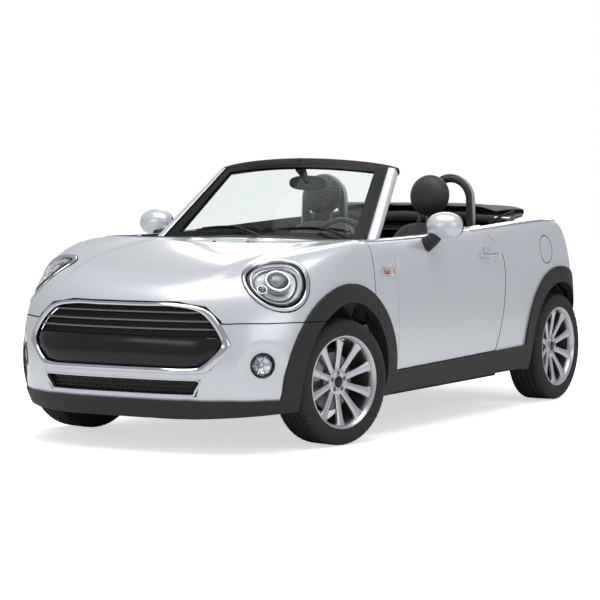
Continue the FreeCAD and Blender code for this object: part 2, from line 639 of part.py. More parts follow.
# Side scuttles between the bonnet and the doors
scuttle_stock = build_wall(side_stations(size.bonnet_side_rear - size.panel_gap, size.pillar_base_place, 4), 0.02,
                           0.80, flat_inner(size.scuttle_inner))
scuttle_area = prism([(size.pillar_base_place, sill_line(size.pillar_base_place)),
                      (far_ahead, sill_line(far_ahead)), (far_ahead, above), (size.pillar_base_place, above)],
                     ACROSS, 0, far_out)
scuttle_stock = scuttle_stock.cut(prism(bonnet_plan(-size.panel_gap), UP, 0, above))
scuttle = scuttle_stock.common(scuttle_area).cut(front_trim_cut).cut(hinge_clear).cut(door_area(hinge.x, 0, 0))
add_feature("side_scuttles", both_sides(scuttle))

# Rear quarters, from the door to the tail
quarter_stock = build_wall(quarter_stations(size.quarter_front, 6, 4, 10), 0.02, 0.84,
                           offset_inner(size.quarter_wall))
quarter = quarter_stock.cut(rear_trim_cut).cut(opening)
quarter = quarter.common(prism([(far_behind, size.tail_line), (rear_axle_place, size.tail_line),
                                (rear_axle_place, sill_line(rear_axle_place)),
                                (size.quarter_front, sill_line(size.quarter_front)), (size.quarter_front, above),
                                (far_behind, above)], ACROSS, 0, far_out))
quarter = quarter.cut(box(far_behind, tail_axis, -far_out, size.lid_half + size.panel_gap, 0, above))
lamp_outline = [(size.tail_lamp_inner, size.tail_lamp_bottom), (size.tail_lamp_outer, size.tail_lamp_bottom),
                (size.tail_lamp_outer, size.tail_lamp_top), (size.tail_lamp_inner, size.tail_lamp_top)]
tail_lamp_cut = rounded_prism(lamp_outline, ALONG, far_behind, tail_axis + size.tail_wall, size.tail_lamp_round)
tail_lamp_stock = build_wall(quarter_stations(tail_axis + size.quarter_wall, 2, 10, 8), 0.2, 0.84,
                             offset_inner(size.quarter_wall), size.tail_lamp_stand)
add_feature("tail_lamps", both_sides(tail_lamp_stock.common(tail_lamp_cut)))
flap_station = ("across", size.flap_place)
flap_place, flap_normal = place_on(flap_station, 1, size.flap_share)
flap_cut = many_sided(size.flap_radius + size.panel_gap, flap_place - flap_normal * size.lamp_reach, flap_normal,
                    2 * size.lamp_reach)
flap_stock = many_sided(size.flap_radius, flap_place - flap_normal * size.lamp_reach, flap_normal,
                      2 * size.lamp_reach)
flap_wall = build_wall(quarter_stations(size.quarter_front, 6, 4, 10), 0.4, 0.8, offset_inner(size.flap_depth))
add_feature("fuel_flap", flap_wall.common(flap_stock))
quarter = quarter.cut(tail_lamp_cut)
add_feature("quarter_left", quarter.cut(flap_cut))
add_feature("quarter_right", mirrored(quarter))

tail_wall = tail_stations(size.tail_fan, 17)
tail_stock = build_wall(tail_wall, 0.0, 0.84, offset_inner(size.tail_wall))
lid_area = box(far_behind, tail_axis, -size.lid_half, size.lid_half, size.tail_line + size.panel_gap,
               size.lid_top - size.panel_gap)
add_feature("boot_lid", tail_stock.common(lid_area))
deck_area = box(far_behind, tail_axis, -size.lid_half - size.panel_gap + size.seat_gap,
                size.lid_half + size.panel_gap - size.seat_gap, size.lid_top, above)
add_feature("rear_deck", tail_stock.common(deck_area))
rear_area = box(far_behind, tail_axis, -far_out, far_out, size.sill_bottom, size.tail_line)
add_feature("rear_bumper", tail_stock.common(rear_area).cut(rear_trim_cut))

# Cladding along the sills and round the arches
lower_area = box(size.front_axle_place, far_ahead, -far_out, far_out, size.lip_bottom, size.bonnet_line - gap_half)
front_lower = front_trim.common(lower_area)
scuttle_trim_stock = build_wall(side_stations(size.bonnet_side_rear - size.panel_gap, size.pillar_base_place, 4), 0.0,
                                0.60, offset_inner(size.scuttle_wall), size.cladding_stand)
front_rearward = scuttle_trim_stock.common(front_trim_cut).cut(front_arch)
rear_trim_stock = build_wall(quarter_stations(size.quarter_front - size.rear_trim_start, 7, 70, 4), 0.0, 0.60,
                             offset_inner(size.quarter_wall), size.cladding_stand)
rear_trim = rear_trim_stock.common(rear_trim_cut).cut(rear_arch)
add_feature("arch_trims", Part.makeCompound([front_lower, both_sides(front_rearward), both_sides(rear_trim)]))
sill_stock = build_wall(side_stations(size.bonnet_side_rear, -size.sill_reach, 7), 0.0, 0.12,
                        flat_inner(size.sill_inner), size.cladding_stand)
sill_area = prism([(far_ahead, sill_line(far_ahead)), (far_behind, sill_line(far_behind)),
                   (far_behind, size.sill_bottom), (far_ahead, size.sill_bottom)], ACROSS, 0, far_out)
sill = sill_stock.common(sill_area).cut(front_trim_cut).cut(rear_trim_cut)
add_feature("sills", both_sides(sill))

# Belt strips, 0.3 mm clear of the panels that carry them, and the door handles
strip_low, strip_high = 0.775, 0.80


def strip(stations):
    return build_wall(stations, strip_low, strip_high, offset_inner(-size.seat_gap), size.strip_stand)


door_strip = strip(side_stations(door_front_stop + size.panel_gap, -700, 7))
door_strip = door_strip.common(door_area(door_front_stop - size.panel_gap, size.panel_gap, size.panel_gap * -1))
quarter_strip = strip(quarter_stations(size.quarter_front, 6, 50, 5)).cut(opening)
front_strip = strip(side_stations(size.bonnet_side_rear - size.panel_gap, door_front_stop + size.panel_gap, 3))
add_feature("belt_strips", Part.makeCompound([both_sides(quarter_strip), both_sides(front_strip)]))
handle_place = place_at_height(("across", (size.handle_front + size.handle_rear) / 2), size.handle_place)
handle_low, handle_in = handle_place.z - size.handle_height / 2, handle_place.y + size.handle_clear
handle = rounded_prism([(handle_in, handle_low), (handle_in + size.handle_stand, handle_low),
                        (handle_in + size.handle_stand, handle_low + size.handle_height),
                        (handle_in, handle_low + size.handle_height)], ALONG, size.handle_rear, size.handle_front,
                       size.handle_round)
feet = [box(x, x + size.handle_height, handle_in - size.foot_reach, handle_in + size.handle_round, handle_low +
            size.handle_round, handle_low + size.handle_height - size.handle_round)
        for x in (size.handle_rear + size.handle_round, size.handle_front - size.handle_round - size.handle_height)]
handle = handle.fuse(feet[0]).fuse(feet[1]).cut(door_stock)
door_brightwork = Part.makeCompound([door_strip, handle])
add_feature("door_brightwork_left", door_brightwork)
add_feature("door_brightwork_right", mirrored(door_brightwork))
bar_front = place_at_height(("tail", 0), size.boot_handle_height)[0] - size.handle_clear
bar_top = size.boot_handle_height + size.handle_height
boot_bar = rounded_prism([(bar_front - size.handle_stand, size.boot_handle_height),
                          (bar_front, size.boot_handle_height), (bar_front, bar_top),
                          (bar_front - size.handle_stand, bar_top)], ACROSS, -size.boot_handle_half,
                         size.boot_handle_half, size.handle_round)
bar_feet = [box(bar_front - size.handle_round, bar_front + size.bar_reach, y, y + size.handle_height,
                size.boot_handle_height + size.handle_round, bar_top - size.handle_round)
            for y in (-size.boot_handle_half, size.boot_handle_half - size.handle_height)]
add_feature("boot_handle", boot_bar.fuse(bar_feet[0]).fuse(bar_feet[1]).cut(tail_stock))


# Windscreen, a leaning patch bowed forward, between base and header
def screen_place(across, up, depth=0):
    # across from -1 to 1 and up from 0 to 1 on the screen's outer face, depth towards the cabin.
    bow = 1 - across * across
    low = Vector(size.pillar_base_place + size.screen_lead * bow, across * size.pillar_base_half,
                 size.pillar_base_height)
    high = Vector(size.header_place + size.header_lead * bow, across * size.header_half,
                  size.header_height + size.header_crown * bow)
    run = high - low
    back = Vector(-run.z, 0, run.x)
    back.normalize()
    return low + run * up + back * depth


def screen_wall(across_low, across_high, up_low, up_high, depth_low, depth_high, count):
    grids = []
    for depth in (depth_low, depth_high):
        grids.append([[screen_place(a, up, depth) for a in spaced(across_low, across_high, count)]
                      for up in (up_low, up_high)])
    return closed_wall(*grids)


pillar_share, header_share = size.pillar_width / size.header_half, size.header_depth / size.header_height * 2
frame_stock = screen_wall(-1, 1, 0, 1, 0, size.frame_depth, 9)
frame_opening = screen_wall(pillar_share - 1, 1 - pillar_share, -1, 1 - header_share, -size.frame_depth,
                            2 * size.frame_depth, 9)
screen_frame = frame_stock.cut(frame_opening).cut(hinge_clear).cut(mirrored(hinge_clear))
add_feature("windscreen_frame", screen_frame)
glass_side = 1 - pillar_share - size.seat_gap / size.header_half
glass = screen_wall(-glass_side, glass_side, size.glass_low_share, 1 - header_share - size.glass_gap_share,
                    size.glass_depth, size.glass_depth + size.glass_thickness, 9)
add_feature("windscreen", glass)

# Cowl under the screen, with the bulkhead below it
cowl_stock = build_wall(nose_stations(size.nose_fan, 19), 0.86, 1.0, offset_inner(size.cowl_wall))
cowl_gap = prism(bonnet_plan(-size.panel_gap), UP, 0, above)
cowl = cowl_stock.common(box(size.cowl_rear, far_ahead, -size.cowl_half, size.cowl_half, 0, above)).cut(cowl_gap)
add_feature("cowl", cowl)
add_block("bulkhead", ("bulkhead_place", "-bulkhead_half", "tunnel_height", "bulkhead_thickness",
                       "2 * bulkhead_half", "bulkhead_top - tunnel_height"))

# Floor pan, a plate with a tunnel, a kick-up and the boot floor, cleared for the wheels
floor_top = size.floor_bottom + size.floor_thickness
tunnel = prism([(-size.tunnel_half, floor_top), (-size.tunnel_half + size.tunnel_taper, size.tunnel_height),
                (size.tunnel_half - size.tunnel_taper, size.tunnel_height), (size.tunnel_half, floor_top),
                (size.tunnel_half - size.tunnel_wall, size.floor_bottom),
                (size.tunnel_half - size.tunnel_taper - size.tunnel_wall, size.tunnel_height - size.tunnel_wall),
                (size.tunnel_taper + size.tunnel_wall - size.tunnel_half, size.tunnel_height - size.tunnel_wall),
                (size.tunnel_wall - size.tunnel_half, size.floor_bottom)], ALONG, size.kick_place,
               size.bulkhead_place + size.bulkhead_thickness)
plate = box(size.kick_place, size.bulkhead_place + size.bulkhead_thickness, -size.sill_inner, size.sill_inner,
            size.floor_bottom, floor_top)
plate = plate.cut(box(size.kick_place - size.cut_overrun, far_ahead, size.tunnel_wall - size.tunnel_half,
                      size.tunnel_half - size.tunnel_wall, 0, above))
corner = box(size.floor_corner, far_ahead, size.bulkhead_half, far_out, 0, above)
plate = plate.cut(corner).cut(mirrored(corner))
kick = box(size.kick_place - size.floor_thickness, size.kick_place, -size.boot_half, size.boot_half,
           size.floor_bottom, size.boot_floor)
pipe_half = size.tunnel_half - size.tunnel_taper - size.tunnel_wall
kick = kick.cut(box(far_behind, far_ahead, -pipe_half, pipe_half, 0, size.tunnel_height - 2 * size.tunnel_wall))
rear_plate = box(size.floor_rear, size.kick_place, -size.boot_half, size.boot_half, size.boot_floor,
                 size.boot_floor + size.floor_thickness)
add_feature("floor_pan", plate.fuse(tunnel).fuse(kick).fuse(rear_plate))


# Wheelhouses: half-round liners with an inner side, open below and outwards
def wheelhouse(axle, radius, inner, outer, foot):
    liner = many_sided(radius + size.wheelhouse_wall, Vector(axle.x, inner, axle.z), ACROSS, outer - inner)
    hollow = many_sided(radius, Vector(axle.x, inner + size.wheelhouse_wall, axle.z), ACROSS, outer)
    liner = liner.cut(hollow)
    return liner.cut(box(far_behind, far_ahead, 0, far_out, -above, foot))


front_house = wheelhouse(front_axle, size.front_arch_radius, size.wheelhouse_inner, size.wheelhouse_outer,
                         size.wheelhouse_foot)
drive_gap = box(size.front_axle_place - size.drive_gap, size.front_axle_place + size.drive_gap, 0, far_out,
                -above, size.drive_gap_top)
rear_house = wheelhouse(rear_axle, size.rear_arch_radius, size.rear_house_inner, size.rear_house_outer,
                        size.wheelhouse_foot)
rear_gap = box(rear_axle_place - size.drive_gap, rear_axle_place + size.drive_gap, 0, far_out, -above,
               size.drive_gap_top)
add_feature("wheelhouses", Part.makeCompound([both_sides(front_house.cut(drive_gap)),
                                              both_sides(rear_house.cut(rear_gap))]))

# Engine as one plain mass, radiator, tank and exhaust
add_block("engine", ("engine_front - engine_length", "-engine_width / 2", "engine_bottom", "engine_length",
                     "engine_width", "engine_height"))
add_block("radiator", ("radiator_place", "-radiator_half", "radiator_bottom", "radiator_depth",
                       "2 * radiator_half", "radiator_height"))
add_block("fuel_tank", ("tank_front - tank_length", "-tank_width / 2", "tank_bottom", "tank_length", "tank_width",
                        "tank_height"))

# Front subframe with its lower arms, each ending in the upright king pin
rail = box(size.front_axle_place - size.subframe_length / 2, size.front_axle_place + size.subframe_length / 2,
           size.subframe_half - size.subframe_rail, size.subframe_half, size.arm_height - size.arm_thickness / 2,
           size.arm_height - size.arm_thickness / 2 + size.subframe_height)
cross = box(size.front_axle_place - size.subframe_rail / 2, size.front_axle_place + size.subframe_rail / 2,
            -size.subframe_half, size.subframe_half, size.arm_height - size.arm_thickness / 2,
            size.arm_height - size.arm_thickness / 2 + size.subframe_height)
pin_low = size.arm_height + size.arm_thickness / 2
arm = prism([(size.front_axle_place - size.arm_root_half, size.subframe_half),
             (size.front_axle_place + size.arm_root_half, size.subframe_half),
             (size.front_axle_place + size.arm_tip_half, kingpin_place + size.arm_tip_half),
             (size.front_axle_place - size.arm_tip_half, kingpin_place + size.arm_tip_half)], UP,
            size.arm_height - size.arm_thickness / 2, pin_low)
pin = cylinder(size.kingpin_radius, Vector(size.front_axle_place, kingpin_place, pin_low), UP,
               size.kingpin_length)
carrier = rail.fuse(arm).fuse(pin)
add_feature("front_subframe", cross.fuse(carrier).fuse(mirrored(carrier)))

# Rear axle: a beam with trailing arms, spring towers and stub axles
beam_end = half_track + size.stub_end
beam = many_sided(size.hub_nose_radius - size.seat_gap, Vector(rear_axle_place, -beam_end, size.tyre_radius), ACROSS,
                  2 * beam_end)
trailing = box(rear_axle_place, rear_axle_place + size.trailing_length, size.rear_beam_half - size.trailing_width,
               size.rear_beam_half, size.tyre_radius - size.rear_beam_radius,
               size.tyre_radius + size.rear_beam_radius)
spring = many_sided(size.spring_radius, Vector(rear_axle_place, size.rear_beam_half - size.spring_radius,
                                               size.tyre_radius), UP, size.rear_spring_length)
add_feature("rear_axle", beam.fuse(trailing).fuse(mirrored(trailing)).fuse(spring).fuse(mirrored(spring)))


# Wheels: their own Y axis is the axle, outer face towards positive Y
def wheel_placement(place, turn, outward):
    spin = FreeCAD.Rotation(UP, turn if outward > 0 else turn + 180)
    return FreeCAD.Placement(place, spin)


def make_tyre(label, placement):
    body = add_body(label, placement)
    add_turning(body, [("bead_radius", "-bead_width / 2"), ("tyre_radius", "-tyre_width / 2"),
                       ("tyre_radius", "tyre_width / 2"), ("bead_radius", "bead_width / 2")], label + "_section")


def make_rim(label, placement):
    body = add_body(label, placement)
    rear_face = "-rim_width / 2"
    add_turning(body, [("bead_radius - seat_gap", rear_face), ("bead_radius - seat_gap", "rim_width / 2"),
                       ("bead_radius - rim_wall", "rim_width / 2"), ("bead_radius - rim_wall", rear_face)],
                label + "_barrel")
    disc_back = "disc_face - disc_thickness"
    add_turning(body, [("hub_nose_radius", disc_back), ("disc_radius", disc_back), ("disc_radius", "disc_face"),
                       ("hub_radius", "disc_face"), ("hub_radius", "spoke_face - cap_depth"),
                       ("0", "spoke_face - cap_depth"), ("0", "spoke_face - hub_depth"),
                       ("hub_nose_radius", "spoke_face - hub_depth")], label + "_hub")
    add_pad(body, "XZ_Plane", [("spoke_foot", "-spoke_root_width / 2"), ("bead_radius - rim_wall / 2",
            "-spoke_tip_width / 2"), ("bead_radius - rim_wall / 2", "spoke_tip_width / 2"),
            ("spoke_foot", "spoke_root_width / 2")], label + "_spoke", "spoke_depth", "-spoke_face")
    pattern = body.newObject("PartDesign::PolarPattern", label + "_spokes")
    pattern.Originals = [doc.getObject(label + "_spoke")]
    pattern.Axis = (origin_plane(body, "Y_Axis"), [""])
    pattern.Angle = 360
    bind(pattern, "Occurrences", "spoke_count")
    body.Tip = pattern




def kingpin_turned(place, side):
    # A place on the straight-ahead front wheel carried round its king pin to the parked steering angle.
    pin_place = Vector(size.front_axle_place, side * kingpin_place, 0)
    return FreeCAD.Rotation(UP, size.rest_steer).multVec(place - pin_place) + pin_place


for side, hand in ((1, "left"), (-1, "right")):
    front_hub = kingpin_turned(Vector(size.front_axle_place, side * half_track, size.tyre_radius), side)
    rear_hub = Vector(rear_axle_place, side * half_track, size.tyre_radius)
    for end, hub, turn in (("front", front_hub, size.rest_steer), ("rear", rear_hub, 0)):
        placement = wheel_placement(hub, turn, side)
        make_tyre("tyre_%s_%s" % (end, hand), placement)
        make_rim("rim_%s_%s" % (end, hand), placement)

# Knuckles: an upright round the king pin with the strut and the caliper
def knuckle_parts():
    x, y, z = size.front_axle_place, kingpin_place, size.tyre_radius
    low, high = size.upright_face - size.upright_depth, size.upright_face
    upright = box(x - size.upright_width / 2, x + size.upright_width / 2, half_track + low, half_track + high,
                  size.upright_bottom, size.upright_top)
    boss = cylinder(size.kingpin_boss, Vector(x, y, size.upright_bottom), UP, size.kingpin_boss_height)
    bore = cylinder(size.kingpin_radius + size.seat_gap, Vector(x, y, 0), UP,
                    pin_low + size.kingpin_length + size.seat_gap)
    stub = cylinder(size.hub_nose_radius - size.seat_gap, Vector(x, half_track + high, z), ACROSS, size.stub_length)
    knuckle = upright.fuse(boss).fuse(stub).cut(bore)
    strut = many_sided(size.strut_radius, Vector(x, y - size.strut_inset, size.strut_bottom), UP,
                     size.strut_top - size.strut_bottom)
    seat = many_sided(size.spring_radius, Vector(x, y - size.strut_inset, size.spring_seat_height), UP,
                    size.strut_top - size.spring_seat_height)
    bracket = box(x - size.upright_width / 2, x + size.upright_width / 2, y - size.strut_inset,
                  half_track + low, size.strut_bottom, size.upright_top)
    strut = strut.fuse(seat).fuse(bracket)
    return knuckle.fuse(strut).cut(bore)


knuckle = knuckle_parts()
for side, hand in ((1, "left"), (-1, "right")):
    steered = FreeCAD.Placement(Vector(0, 0, 0), FreeCAD.Rotation(UP, size.rest_steer),
                                Vector(size.front_axle_place, side * kingpin_place, 0))
    solid = knuckle.copy() if side > 0 else mirrored(knuckle)
    add_feature("knuckle_" + hand, solid, steered)

# Cabin: dashboard, column, steering wheel, seats, bench, hoops and folded top
dash = prism([(size.dash_front, size.dash_bottom), (size.dash_front, size.dash_top),
              (size.dash_front - size.dash_slope, size.dash_top), (size.dash_rear, size.dash_top - size.dash_slope),
              (size.dash_rear, size.dash_bottom + size.dash_slope)], ACROSS, -size.dash_half, size.dash_half)
column_way = FreeCAD.Rotation(ACROSS, size.column_lean).multVec(ALONG)
wheel_centre = Vector(size.steering_place, size.seat_half_place, size.steering_height)
column = many_sided(size.column_radius, wheel_centre + column_way * size.column_clear, column_way,
                  size.column_length)
dash = dash.cut(box(size.frame_foot_front, far_ahead, -far_out, far_out, 0, above).cut(
    box(size.frame_foot_front, far_ahead, -size.frame_foot_half, size.frame_foot_half, 0, above)))
add_feature("dashboard", dash.cut(frame_stock).cut(column))
add_feature("steering_column", column)
wheel_turn = FreeCAD.Rotation(ALONG, column_way)
ring_section = [(size.wheel_rim_tube * math.cos(math.tau * i / size.ring_sides),
                 size.wheel_rim_radius + size.wheel_rim_tube * math.sin(math.tau * i / size.ring_sides))
                for i in range(int(size.ring_sides))]
ring = turned_ring(ring_section, int(size.drum_sides))
hub = many_sided(size.steering_hub_radius, ALONG * -size.steering_hub_depth / 2, ALONG, size.steering_hub_depth)
spoke = box(-size.wheel_rim_tube / 2, size.wheel_rim_tube / 2, 0, size.wheel_rim_radius, -size.wheel_rim_tube,
            size.wheel_rim_tube)
drop = box(-size.wheel_rim_tube / 2, size.wheel_rim_tube / 2, -size.wheel_rim_tube, size.wheel_rim_tube,
           -size.wheel_rim_radius, 0)
steering = ring.fuse(hub).fuse(spoke).fuse(mirrored(spoke)).fuse(drop)
add_feature("steering_wheel", steering, FreeCAD.Placement(wheel_centre, wheel_turn))


def make_seat(side):
    y = side * size.seat_half_place
    half = size.seat_width / 2
    cushion = rounded_prism([(size.cushion_rear, size.cushion_top - size.cushion_depth),
                             (size.cushion_rear + size.cushion_length, size.cushion_top - size.cushion_depth),
                             (size.cushion_rear + size.cushion_length, size.cushion_top),
                             (size.cushion_rear, size.cushion_top)], ACROSS, y - half, y + half, size.seat_round)
    back = rounded_prism([(-size.back_thickness, 0), (0, 0), (0, size.back_height),
                          (-size.back_thickness, size.back_height)], ACROSS, y - half, y + half, size.seat_round)
    back.rotate(Vector(0, 0, 0), ACROSS, -size.back_lean)
    back.translate(Vector(size.cushion_rear + size.back_thickness / 2, 0, size.cushion_top - size.seat_round))
    base = box(size.cushion_rear + size.seat_round, size.cushion_rear + size.cushion_length - size.seat_round,
               y - half + size.seat_round, y + half - size.seat_round, floor_top,
               size.cushion_top - size.cushion_depth)
    head = many_sided(size.headrest_radius, Vector(size.headrest_place - size.headrest_width / 2, y,
                                                   size.headrest_height), ALONG, size.headrest_width)
    head = head.makeChamfer(size.headrest_ease, [e for e in head.Edges if abs(e.tangentAt(0).x) < 0.5])
    post_low = size.headrest_height - size.headrest_radius - size.post_drop
    posts = [box(size.headrest_place - size.post_radius, size.headrest_place + size.post_radius,
                 y + place - size.post_radius, y + place + size.post_radius, post_low,
                 post_low + size.post_length) for place in (-size.post_spread, size.post_spread)]
    return cushion.fuse(back).fuse(base).fuse(head).fuse(posts[0]).fuse(posts[1])


add_feature("front_seats", Part.makeCompound([make_seat(1), make_seat(-1)]))
bench = rounded_prism([(size.bench_front - size.bench_length, size.bench_top - size.bench_depth),
                       (size.bench_front, size.bench_top - size.bench_depth), (size.bench_front, size.bench_top),
                       (size.bench_front - size.bench_length, size.bench_top)], ACROSS, -size.bench_half,
                      size.bench_half, size.seat_round)
bench_back = rounded_prism([(size.bench_front - size.bench_length - size.bench_back_thickness, size.bench_top),
                            (size.bench_front - size.bench_length, size.bench_top),
                            (size.bench_front - size.bench_length, size.bench_back_top),
                            (size.bench_front - size.bench_length - size.bench_back_thickness,
                             size.bench_back_top)], ACROSS, -size.bench_half, size.bench_half, size.seat_round)
add_feature("rear_bench", Part.makeCompound([bench, bench_back]))


HOOP_POINTS = 11


def arch_outline(inner, outer, base, top):
    # An inverted U in the plane across the car.
    half, middle = (outer - inner) / 2, (outer + inner) / 2
    bow = [(middle + half * math.cos(turn), top - half + half * math.sin(turn))
           for turn in spaced(0, math.pi, HOOP_POINTS)]
    outline = [(middle + half, base)] + bow + [(middle - half, base)]
    return prism(outline, ALONG, size.hoop_place, size.hoop_place + size.hoop_depth)


def roll_hoop():
    outer = arch_outline(size.hoop_inner, size.hoop_outer, size.hoop_base, size.hoop_top)
    inner = arch_outline(size.hoop_inner + size.hoop_tube, size.hoop_outer - size.hoop_tube, 0,
                         size.hoop_top - size.hoop_tube)
    return outer.cut(inner)


add_feature("roll_hoops", both_sides(roll_hoop()))
top = rounded_prism([(size.top_rear, size.top_bottom), (size.top_front, size.top_bottom),
                     (size.top_front, size.top_height), (size.top_rear + size.seat_round, size.top_height)], ACROSS,
                    -size.top_half, size.top_half, size.seat_round)
add_feature("soft_top", top)


# Door mirrors: a rounded housing on a stalk
def mirror_ring(share, place):
    # One ring of the housing, an oval of the given share of its size.
    return [Vector(place, size.mirror_half + size.mirror_width / 2 * share * math.cos(turn),
                   size.mirror_height + size.mirror_tall / 2 * share * math.sin(turn))
            for turn in spaced(0, math.tau, MIRROR_SIDES + 1)]


# The housing's rings from its glass to its nose: share of its size and place along its depth
MIRROR_RINGS = ((0.93, 0.0), (1.0, 0.12), (0.97, 0.45), (0.80, 0.78), (0.45, 1.0))
MIRROR_SIDES = 14
rings = [mirror_ring(share, size.mirror_place + size.mirror_depth * (run - 0.5)) for share, run in MIRROR_RINGS]
faces = []
for near, far in zip(rings, rings[1:]):
    faces += patch(near, far)
faces += [Part.Face(Part.makePolygon(rings[0])), Part.Face(Part.makePolygon(rings[-1]))]
housing_shell = Part.makeShell(faces)
housing_shell.sewShape()
housing = Part.makeSolid(housing_shell)
if housing.Volume < 0:
    housing.reverse()
stalk = box(size.mirror_place - size.stalk_width / 2, size.mirror_place + size.stalk_width / 2, size.stalk_root,
            size.mirror_half, size.mirror_height - size.stalk_drop, size.mirror_height - size.mirror_tall / 4)
mirror = housing.fuse(stalk.cut(door).cut(door_strip))
add_feature("mirror_left", mirror)
add_feature("mirror_right", mirrored(mirror))

# Wipers lying on the foot of the screen, and the inside mirror under the header
wipers = [screen_wall(low, low + size.wiper_span_share, size.wiper_share, size.wiper_share + size.wiper_rise_share,
                      -size.wiper_stand, -size.seat_gap, 5) for low in (-0.88, 0.02)]
pivots = [box(size.pivot_place, size.pivot_place + size.pivot_width, y, y + size.pivot_width, size.pivot_low,
              size.pivot_high) for y in (-size.pivot_half - size.pivot_width, size.pivot_half - size.pivot_width)]
wipers = [wiper.fuse(pivot).cut(cowl).cut(frame_stock) for wiper, pivot in zip(wipers, pivots)]
add_feature("wipers", Part.makeCompound(wipers))
glass_top = screen_place(0, 1 - header_share, size.frame_depth)
inside_low = glass_top.z - size.inside_mirror_drop - size.inside_mirror_tall
inside_mirror = rounded_prism([(-size.inside_mirror_half, inside_low), (size.inside_mirror_half, inside_low),
                               (size.inside_mirror_half, inside_low + size.inside_mirror_tall),
                               (-size.inside_mirror_half, inside_low + size.inside_mirror_tall)], ALONG,
                              glass_top.x - size.inside_mirror_set,
                              glass_top.x - size.inside_mirror_set + size.inside_mirror_depth,
                              size.inside_mirror_tall / 3)
stalk_low = inside_low + size.inside_mirror_tall - size.post_radius
inside_stalk = box(glass_top.x - size.inside_mirror_set, glass_top.x + size.inside_mirror_reach, -size.post_radius,
                   size.post_radius, stalk_low, stalk_low + 2 * size.post_radius)
ahead_of_glass = screen_wall(-1, 1, 0, 1, -size.cut_overrun, size.glass_depth + size.glass_thickness + size.seat_gap, 9)
inside_mirror = inside_mirror.fuse(inside_stalk).cut(ahead_of_glass).cut(frame_stock.cut(frame_opening))
add_feature("interior_mirror", inside_mirror)

# Exhaust: a pipe in the tunnel, a silencer and two tips in the middle of the tail
pipe = many_sided(size.exhaust_radius, Vector(size.muffler_front, 0, size.exhaust_height), ALONG,
                size.bulkhead_place - size.muffler_front)
muffler = box(size.muffler_front - size.muffler_length, size.muffler_front, -size.muffler_width / 2,
              size.muffler_width / 2, size.exhaust_height, size.exhaust_height + size.muffler_height)
tips = [many_sided(size.exhaust_radius, Vector(size.exhaust_end, side * size.tip_place, size.tip_height), ALONG,
                 size.muffler_front - size.muffler_length - size.exhaust_end) for side in (1, -1)]
exhaust = pipe.fuse(muffler).fuse(tips[0]).fuse(tips[1])
add_feature("exhaust", exhaust)


# Every object is checked, then each sub-part is written to a file of its own
doc.recompute()
for thing in doc.Objects:
    if "Invalid" in thing.State or "Error" in thing.State:
        raise RuntimeError(thing.Label + " failed to build")
for thing in SUB_PARTS:
    if thing.Shape.isNull() or not thing.Shape.isValid():
        raise RuntimeError(thing.Label + " is not a sound shape")
for thing in SUB_PARTS:
    thing.Shape.exportStep("parts/%s.step" % thing.Label)
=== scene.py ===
import math
import random

import bmesh
import bpy
import numpy as np
from bpy.props import FloatProperty, FloatVectorProperty, IntProperty, PointerProperty
from mathutils import Matrix, Vector
from mathutils.bvhtree import BVHTree


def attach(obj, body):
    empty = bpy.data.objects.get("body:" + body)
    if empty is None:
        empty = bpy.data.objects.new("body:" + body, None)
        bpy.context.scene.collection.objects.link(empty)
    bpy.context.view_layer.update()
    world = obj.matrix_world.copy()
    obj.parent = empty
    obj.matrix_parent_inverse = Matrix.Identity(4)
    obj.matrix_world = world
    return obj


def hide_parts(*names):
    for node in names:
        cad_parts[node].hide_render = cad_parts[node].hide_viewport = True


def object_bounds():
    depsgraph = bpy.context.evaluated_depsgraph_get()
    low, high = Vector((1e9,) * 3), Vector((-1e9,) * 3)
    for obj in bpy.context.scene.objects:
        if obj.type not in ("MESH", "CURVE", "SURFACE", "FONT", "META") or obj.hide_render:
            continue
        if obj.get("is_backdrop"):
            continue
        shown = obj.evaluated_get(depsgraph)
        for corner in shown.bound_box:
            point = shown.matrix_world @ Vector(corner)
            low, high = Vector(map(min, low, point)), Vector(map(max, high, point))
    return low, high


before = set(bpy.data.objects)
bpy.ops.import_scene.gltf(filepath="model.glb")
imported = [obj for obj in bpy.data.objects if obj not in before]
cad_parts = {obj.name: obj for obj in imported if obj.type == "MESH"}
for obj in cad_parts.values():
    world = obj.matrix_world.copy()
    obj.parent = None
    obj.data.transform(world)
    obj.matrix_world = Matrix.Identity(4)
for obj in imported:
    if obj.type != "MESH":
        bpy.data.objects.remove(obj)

bl_info = {
    "name": "Open Two-Door Car",
    "version": (1, 0, 0),
    "blender": (4, 5, 0),
    "location": "View3D > Sidebar > Open Car",
    "description": "Dresses the packed car with panels, wheels, lamps, cabin and finishes",
    "category": "Object",
}

CAD_LOW, CAD_HIGH = (list(corner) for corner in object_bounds())

